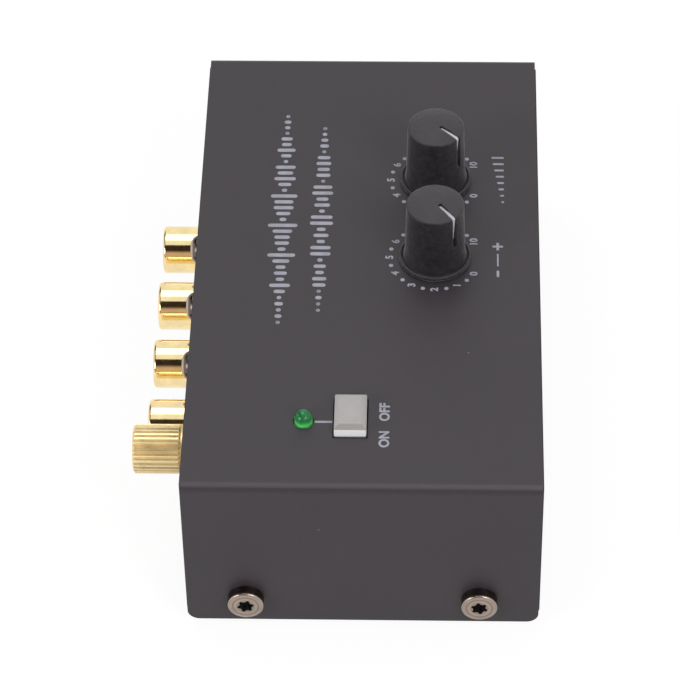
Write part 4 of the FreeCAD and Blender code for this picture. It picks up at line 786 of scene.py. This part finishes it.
class PreampButton(bpy.types.Operator):
    """Build the power button with its dished top and soft edges"""
    bl_idname = "preamp.button"
    bl_label = "Power button"

    # From the rim up: how far each ring is drawn in all round, and its depth under the top.
    rings = ((0.00, 0.80), (0.03, 0.74), (0.10, 0.66), (0.66, 0.10), (0.74, 0.03), (0.84, 0.00),
             (1.10, 0.01), (1.60, 0.03))
    cap_length = 7.9
    cap_width = 5.25
    rim_height = 0.8
    dish = 0.12

    spring_turns = 4
    spring_wire = 0.11
    spring_left = 0.42

    def spring(self):
        """The switch's return spring."""
        low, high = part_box("switch_spring")
        centre = middle("switch_spring")
        wire_radius = self.spring_wire * MM
        radius = (high.x - low.x) / 2 - wire_radius
        foot, top = low.z + wire_radius, high.z - wire_radius
        steps = self.spring_turns * 24
        shape = bmesh.new()
        rows = []
        for i in range(steps + 1):
            turn = 2 * math.pi * self.spring_turns * i / steps
            out = Vector((math.cos(turn), math.sin(turn), 0))
            spot = Vector((centre.x, centre.y, foot + (top - foot) * i / steps)) + out * radius
            rows.append([shape.verts.new(spot + (out * math.cos(a) + Vector((0, 0, math.sin(a)))) * wire_radius)
                         for a in (math.pi / 4 * j for j in range(8))])
        for before, after in zip(rows, rows[1:]):
            for j in range(8):
                k = (j + 1) % 8
                shape.faces.new((before[j], before[k], after[k], after[j]))
        shape.faces.new(rows[0])
        shape.faces.new(rows[-1][::-1])
        steel = plating("Spring steel", (0.5, 0.5, 0.52), (0, 0, 1), 0.3)
        coil = new_piece("return_spring", mesh_from("return_spring", shape), steel, "chassis",
                         smooth=True)
        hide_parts("switch_spring")
        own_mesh(coil)

    def plastic(self, colour, top):
        """Grey plastic with painted light: a near-white painted highlight down its upright sides, a lighter
        painted highlight on the chamfers, painted shade on the chamfer facing the near end, and painted shade down
        in the panel hole.
        """
        material, tree, shader, place = new_material("Button plastic")
        grain = effect(tree, "Grain", Position=place, Grain_per_metre=4200.0, Drift_per_metre=300.0)
        wear = effect(tree, "Edge wear and highlight", Position=place, Width=0.0002, Amount=0.5)
        base = blend_colours(tree, grain["Drift"], rgba(colour, 0.93), rgba(colour, 1.06))
        height = add(tree, "SeparateXYZ", None, {0: place}).outputs["Z"]
        parts = add(tree, "SeparateXYZ", None, {0: add(tree, "TexCoord").outputs["Normal"]})
        across, facing = parts.outputs["X"], parts.outputs["Z"]
        upright = maths(tree, "LESS_THAN", facing, 0.3)
        slant = maths(tree, "MULTIPLY", maths(tree, "LESS_THAN", facing, 0.93),
                      maths(tree, "GREATER_THAN", facing, 0.4))
        # Painted highlight: the chamfers are lighter.
        lit = blend_colours(tree, slant, base, rgba(colour, 1.14))
        # Painted shade: the chamfer facing the near end is darker.
        near = maths(tree, "MULTIPLY", slant, maths(tree, "LESS_THAN", across, -0.3))
        near_chamfer_painted_shade = blend_colours(tree, near, lit, (colour[0] * 0.80, colour[1] * 0.77, colour[2] * 0.74, 1))
        # Painted highlight: the upright sides are near white.
        sided = blend_colours(tree, upright, near_chamfer_painted_shade, (1, 0.99, 1, 1))
        # Painted shade: the cap is near black down in the panel hole.
        sunk = add(tree, "MapRange", None, {"Value": height, "From Min": PANEL_Z - 0.25 * MM,
                                            "From Max": PANEL_Z + 0.12 * MM, "To Min": 1.0, "To Max": 0.0})
        hole_painted_shade = blend_colours(tree, sunk.outputs[0], sided, (0.05, 0.048, 0.05, 1))
        # Lighter edges: edge wear and painted highlight.
        worn_and_highlit = blend_colours(tree, wear["Mask"], hole_painted_shade, rgba(colour, 1.3))
        wire(tree, shader, Base_Color=worn_and_highlit, Roughness=spread(tree, grain["Height"], 0.32, 0.42),
             Normal=bump(tree, grain["Height"], 0.000004, 0.5))
        return material

    def execute(self, context):
        colours, sizes = context.scene.preamp_colours, context.scene.preamp_sizes
        low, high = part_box("power_button")
        top = high.z - self.dish * MM
        centre = middle("power_button")
        half_x, half_y = self.cap_length * MM / 2, self.cap_width * MM / 2
        corner = sizes.button_corner
        rim_x, rim_y = (high.x - low.x) / 2, (high.y - low.y) / 2
        rim_top = low.z + self.rim_height * MM
        rings = [rounded_rectangle(rim_x, rim_y, corner, low.z),
                 rounded_rectangle(rim_x, rim_y, corner, rim_top),
                 rounded_rectangle(half_x, half_y, corner, rim_top)]
        for inward, depth in self.rings:
            round_off = max(corner - inward * MM * 0.4, 0.10 * MM)
            rings.append(rounded_rectangle(half_x - inward * MM, half_y - inward * MM, round_off,
                                           top - depth * MM))
        shape = bmesh.new()
        loft(shape, rings)
        bmesh.ops.translate(shape, verts=shape.verts, vec=(centre.x, centre.y, 0))
        mesh = mesh_from("button_cap", shape)
        plastic = self.plastic(colours.button, top)
        cap = new_piece("button_cap", mesh, plastic, "button", smooth=True)
        soften = cap.modifiers.new("Soft edges", "BEVEL")
        soften.width = 0.05 * MM
        soften.segments = 2
        soften.limit_method = "ANGLE"
        soften.angle_limit = math.radians(35)
        soften.harden_normals = True
        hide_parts("power_button")
        finish_nodes(moulding("Plunger", (0.75, 0.74, 0.72), 0.4), "switch_plunger")
        self.spring()
        finish_nodes(kept_material("Black moulding", moulding, (0.014, 0.014, 0.015), 0.5), "switch_case")
        return {"FINISHED"}


class PreampLamp(bpy.types.Operator):
    """Give the lamp its clear green resin and the heart inside it"""
    bl_idname = "preamp.lamp"
    bl_label = "Lamp"

    dome_radius = 1.5
    rim_height = 0.9
    heart_radius = 1.22

    def execute(self, context):
        colour = context.scene.preamp_colours.lamp
        low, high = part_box("led_lens")
        centre = middle("led_lens")
        stand = Vector((centre.x, centre.y, 0))
        flange, radius = (high.x - low.x) / 2, self.dome_radius * MM
        rim_top, spring = low.z + self.rim_height * MM, high.z - radius
        outline = [(0, low.z), (flange - 0.05 * MM, low.z), (flange, low.z + 0.05 * MM),
                   (flange, rim_top - 0.05 * MM), (flange - 0.05 * MM, rim_top), (radius, rim_top)]
        outline += [(radius * math.cos(a), spring + radius * math.sin(a))
                    for a in (math.radians(6 * i) for i in range(15))] + [(0, high.z)]
        lens = new_piece("lamp_dome", mesh_from("lamp_dome", turned_shape(outline, stand)), clear_lamp(colour),
                         "chassis", smooth=True)
        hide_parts("led_lens")
        inner = self.heart_radius * MM
        outline = [(0, low.z + 0.3 * MM), (inner, low.z + 0.3 * MM)]
        outline += [(inner * math.cos(a), spring + inner * math.sin(a))
                    for a in (math.radians(7.5 * i) for i in range(12))] + [(0, spring + inner)]
        new_piece("lamp_heart", mesh_from("lamp_heart", turned_shape(outline, stand)), lamp_heart(colour),
                  "chassis", smooth=True)
        finish_nodes(plating("Tinned wire", (0.72, 0.72, 0.73), (0, 0, 1), 0.3), "led_leads", "ground_lug",
                     "dc_spring", "trs_springs")
        black = kept_material("Black moulding", moulding, (0.014, 0.014, 0.015), 0.5)
        finish_nodes(black, "led_spacer")
        return {"FINISHED"}


class PreampSockets(bpy.types.Operator):
    """Finish the phono sockets, the 6.35 mm output and the power inlet"""
    bl_idname = "preamp.sockets"
    bl_label = "Rear sockets"

    def execute(self, context):
        colours = context.scene.preamp_colours
        gilt = kept_material("Gilt", plating, colours.gilt, (0, 1, 0), 0.10)
        white = moulding("White insulator", (0.78, 0.78, 0.75), 0.3, 2500.0, 0.000006)
        red = moulding("Red insulator", (0.50, 0.02, 0.02), 0.3, 2500.0, 0.000006)
        for n in SOCKETS:
            finish_nodes(gilt, "rca_barrel_%d" % n, "rca_contact_%d" % n)
            finish_nodes(red if n % 2 else white, "rca_insulator_%d" % n)
        black = kept_material("Black moulding", moulding, (0.014, 0.014, 0.015), 0.5)
        finish_nodes(black, "rca_housing", "trs_housing", "dc_housing")
        nickel = kept_material("Socket nickel", plating, (0.68, 0.67, 0.65), (0, 1, 0), 0.18)
        finish_nodes(nickel, "trs_sleeve", "dc_pin")
        return {"FINISHED"}


class PreampGroundPost(bpy.types.Operator):
    """Finish the ground post, its nuts, washer and wire"""
    bl_idname = "preamp.ground_post"
    bl_label = "Ground post"

    def execute(self, context):
        colours = context.scene.preamp_colours
        gilt = kept_material("Gilt", plating, colours.gilt, (0, 1, 0), 0.10)
        finish_nodes(gilt, "ground_stud")
        rough_gilt = plating("Knurled gilt", colours.gilt, (0, 1, 0), 0.34, 0.0000015)
        set_shader(rough_gilt.node_tree.nodes["Principled BSDF"], Metallic=0.55)
        finish_nodes(rough_gilt, "ground_thumb_nut", "ground_washer")
        finish_nodes(plating("Nut zinc", (0.55, 0.56, 0.58), (0, 1, 0), 0.4), "ground_inner_nut")
        finish_nodes(moulding("Wire sleeve", (0.02, 0.16, 0.05), 0.45), "ground_wire")
        return {"FINISHED"}


class PreampScrews(bpy.types.Operator):
    """Finish every screw, clinch nut and standoff"""
    bl_idname = "preamp.screws"
    bl_label = "Screws and standoffs"

    def execute(self, context):
        nickel = context.scene.preamp_colours.nickel
        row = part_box("cover_screws")
        gap = (row[1].y - row[0].y) - (row[1].z - row[0].z)
        finish_nodes(screw_plating("Cover screw nickel", nickel, "cover_screws", "X", gap, 1.9 * MM, 0.06 * MM),
                     "cover_screws")
        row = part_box("rca_screws")
        gap = ((row[1].x - row[0].x) - (row[1].z - row[0].z)) / 2
        finish_nodes(screw_plating("Rear screw nickel", rgba(nickel, 1.25)[:3], "rca_screws", "Y", gap,
                                   1.5 * MM, 0.6 * MM), "rca_screws")
        zinc = kept_material("Fastener zinc", plating, (0.6, 0.6, 0.6), (0, 0, 1), 0.35)
        finish_nodes(zinc, "board_screws", "control_screws", "board_standoffs", "control_standoffs", "cover_nuts")
        return {"FINISHED"}


class PreampBoards(bpy.types.Operator):
    """Finish both circuit boards and the parts on them"""
    bl_idname = "preamp.boards"
    bl_label = "Circuit boards"

    def execute(self, context):
        finish_nodes(board_material(), "main_board", "control_board")
        finish_nodes(ribbon_material(), "ribbon_cable")
        black = kept_material("Black moulding", moulding, (0.014, 0.014, 0.015), 0.5)
        finish_nodes(black, "op_amps", "regulator", "main_header", "control_header")
        finish_nodes(moulding("Chip body", (0.02, 0.02, 0.022), 0.4), "chip_resistors")
        finish_nodes(moulding("Capacitor sleeve", (0.03, 0.03, 0.05), 0.28), "electrolytics")
        finish_nodes(moulding("Film capacitor", (0.42, 0.05, 0.03), 0.25), "film_capacitors")
        return {"FINISHED"}


class PreampStudio(bpy.types.Operator):
    """Set the floor, the soft boxes, the dark flag, the world and the camera"""
    bl_idname = "preamp.studio"
    bl_label = "Studio and camera"

    top_way = (0.30, 0.15, 0.94)
    side_ways = ((-0.573, 0.712, 0.407), (-0.613, -0.467, 0.638))
    lamp_distance = 1.2
    floor_half = 6.0

    def lamp(self, name, way, size, power):
        light = bpy.data.lights.new(name, "AREA")
        light.shape = "SQUARE"
        light.size = size
        light.energy = power
        holder = bpy.data.objects.new(name, light)
        bpy.context.scene.collection.objects.link(holder)
        way = Vector(way).normalized()
        holder.location = way * self.lamp_distance + Vector((0, 0, 0.02))
        holder.rotation_mode = "QUATERNION"
        holder.rotation_quaternion = way.to_track_quat("Z", "Y")

    def floor(self):
        shape = bmesh.new()
        half = self.floor_half
        corners = [shape.verts.new((x, y, 0)) for x, y in
                   ((-half, -half), (half, -half), (half, half), (-half, half))]
        shape.faces.new(corners)
        mesh = mesh_from("studio_floor", shape)
        material, tree, shader, place = new_material("Studio floor")
        grain = effect(tree, "Grain", Position=place, Grain_per_metre=300.0, Drift_per_metre=2.0)
        set_shader(shader, Roughness=0.9, Specular_IOR_Level=0.0)
        wire(tree, shader, Base_Color=blend_colours(tree, grain["Drift"], (0.86, 0.86, 0.86, 1),
                                                    (0.90, 0.90, 0.90, 1)))
        glow = add(tree, "Emission", None, {"Color": (1, 1, 1, 1), "Strength": 1.08})
        path = add(tree, "LightPath").outputs
        seen = maths(tree, "MAXIMUM", path["Is Camera Ray"], path["Is Glossy Ray"])
        mixed = add(tree, "MixShader", None, {0: maths(tree, "MULTIPLY", seen, 0.84)})
        tree.links.new(shader.outputs[0], mixed.inputs[1])
        tree.links.new(glow.outputs[0], mixed.inputs[2])
        clear = add(tree, "BsdfTransparent")
        under = add(tree, "MixShader", None, {0: add(tree, "NewGeometry").outputs["Backfacing"]})
        tree.links.new(mixed.outputs[0], under.inputs[1])
        tree.links.new(clear.outputs[0], under.inputs[2])
        tree.links.new(under.outputs[0], tree.nodes["Material Output"].inputs["Surface"])
        mesh.materials.append(material)
        plane = bpy.data.objects.new("studio_floor", mesh)
        bpy.context.scene.collection.objects.link(plane)

    def flag(self):
        """A dark card over the camera, seen only in reflections, that draws the dark band on bright metal."""
        shape = bmesh.new()
        reach, half_wide, steps = 1.6, 0.9, 16
        rows = []
        for i in range(steps + 1):
            rise = math.radians(3 + 65 * i / steps)
            x, z = -reach * math.cos(rise), reach * math.sin(rise)
            rows.append([shape.verts.new((x, y, z)) for y in (-half_wide, half_wide)])
        for low, high in zip(rows, rows[1:]):
            shape.faces.new((low[0], low[1], high[1], high[0]))
        mesh = mesh_from("studio_flag", shape)
        material = bpy.data.materials.new("Studio flag")
        material.use_nodes = True
        tree = material.node_tree
        tree.nodes.remove(tree.nodes["Principled BSDF"])
        height = add(tree, "SeparateXYZ", None, {0: add(tree, "TexCoord").outputs["Object"]}).outputs["Z"]
        fade = add(tree, "MapRange", None, {"Value": height, "From Min": 0.75, "From Max": 1.05,
                                            "To Min": 0.60, "To Max": 0.035})
        glow = add(tree, "Emission", None, {"Color": (1.0, 0.74, 0.62, 1), "Strength": fade.outputs[0]})
        tree.links.new(glow.outputs[0], tree.nodes["Material Output"].inputs["Surface"])
        mesh.materials.append(material)
        self.reflected_card("studio_flag", mesh)

    def dark_strip(self):
        """A dark arch beyond the rear, seen only in reflections; it draws the line inside each shell's lip."""
        shape = bmesh.new()
        rows = []
        reach = 1.7
        for i in range(17):
            round_y = math.radians(16 + 10 * i)
            rows.append([shape.verts.new((reach * math.cos(round_y) * math.sin(off), reach * math.cos(off),
                                          reach * math.sin(round_y) * math.sin(off)))
                         for off in (math.radians(36), math.radians(66))])
        for low, high in zip(rows, rows[1:]):
            shape.faces.new((low[0], low[1], high[1], high[0]))
        mesh = mesh_from("studio_strip", shape)
        material = bpy.data.materials.new("Studio strip")
        material.use_nodes = True
        tree = material.node_tree
        tree.nodes.remove(tree.nodes["Principled BSDF"])
        glow = add(tree, "Emission", None, {"Color": (1.0, 0.74, 0.62, 1), "Strength": 0.05})
        tree.links.new(glow.outputs[0], tree.nodes["Material Output"].inputs["Surface"])
        mesh.materials.append(material)
        self.reflected_card("studio_strip", mesh)

    def reflected_card(self, name, mesh):
        card = bpy.data.objects.new(name, mesh)
        bpy.context.scene.collection.objects.link(card)
        card.visible_camera = False
        card.visible_diffuse = False
        card.visible_shadow = False
        card.visible_transmission = False

    def world(self, fill):
        world = bpy.data.worlds.new("Studio")
        bpy.context.scene.world = world
        world.use_nodes = True
        tree = world.node_tree
        path = add(tree, "LightPath").outputs
        seen = maths(tree, "MAXIMUM", path["Is Camera Ray"],
                     maths(tree, "MAXIMUM", path["Is Glossy Ray"], path["Is Transmission Ray"]))
        strength = spread(tree, seen, fill, 1.0)
        background = tree.nodes["Background"]
        background.inputs["Color"].default_value = (1, 1, 1, 1)
        tree.links.new(strength, background.inputs["Strength"])

    def camera(self, stage):
        data = bpy.data.cameras.new("Camera")
        data.sensor_width = 36.0
        data.lens = stage.lens
        data.clip_start, data.clip_end = 0.01, 20.0
        camera = bpy.data.objects.new("Camera", data)
        bpy.context.scene.collection.objects.link(camera)
        back = -Vector(stage.camera_forward).normalized()
        right = Vector(stage.camera_up).cross(back).normalized()
        up = back.cross(right)
        turn = Matrix((right, up, back)).transposed()
        camera.matrix_world = Matrix.Translation(Vector(stage.camera_place)) @ turn.to_4x4()
        bpy.context.scene.camera = camera

    def execute(self, context):
        stage = context.scene.preamp_stage
        self.floor()
        self.flag()
        self.dark_strip()
        self.world(stage.fill)
        self.lamp("top_soft_box", self.top_way, 0.6, stage.top_power)
        for number, way in enumerate(self.side_ways, start=1):
            self.lamp("side_soft_box_%d" % number, way, 0.5, stage.side_power)
        self.camera(stage)
        context.scene.view_settings.view_transform = "Standard"
        return {"FINISHED"}


OPERATORS = (PreampCase, PreampScales, PreampSigns, PreampDials, PreampButton, PreampLamp,
             PreampSockets, PreampGroundPost, PreampScrews, PreampBoards, PreampStudio)
SETTINGS = {"preamp_colours": PreampColours, "preamp_sizes": PreampSizes, "preamp_stage": PreampStage}


class PreampPanel(bpy.types.Panel):
    bl_idname = "VIEW3D_PT_preamp"
    bl_label = "Phono preamp"
    bl_space_type = "VIEW_3D"
    bl_region_type = "UI"
    bl_category = "Phono preamp"

    def draw(self, context):
        for group in SETTINGS:
            settings = getattr(context.scene, group)
            for name in settings.bl_rna.properties.keys():
                if name not in ("rna_type", "name"):
                    self.layout.prop(settings, name)
        for operator in OPERATORS:
            self.layout.operator(operator.bl_idname)


def register():
    for settings in SETTINGS.values():
        bpy.utils.register_class(settings)
    for name, settings in SETTINGS.items():
        setattr(bpy.types.Scene, name, bpy.props.PointerProperty(type=settings))
    for operator in OPERATORS:
        bpy.utils.register_class(operator)
    bpy.utils.register_class(PreampPanel)


def unregister():
    bpy.utils.unregister_class(PreampPanel)
    for operator in reversed(OPERATORS):
        bpy.utils.unregister_class(operator)
    for name, settings in SETTINGS.items():
        delattr(bpy.types.Scene, name)
        bpy.utils.unregister_class(settings)


def main():
    random.seed(4)
    register()
    for operator in OPERATORS:
        group, name = operator.bl_idname.split(".")
        if getattr(getattr(bpy.ops, group), name)() != {"FINISHED"}:
            raise RuntimeError(operator.bl_label + " did not finish")


if __name__ == "__main__":
    main()
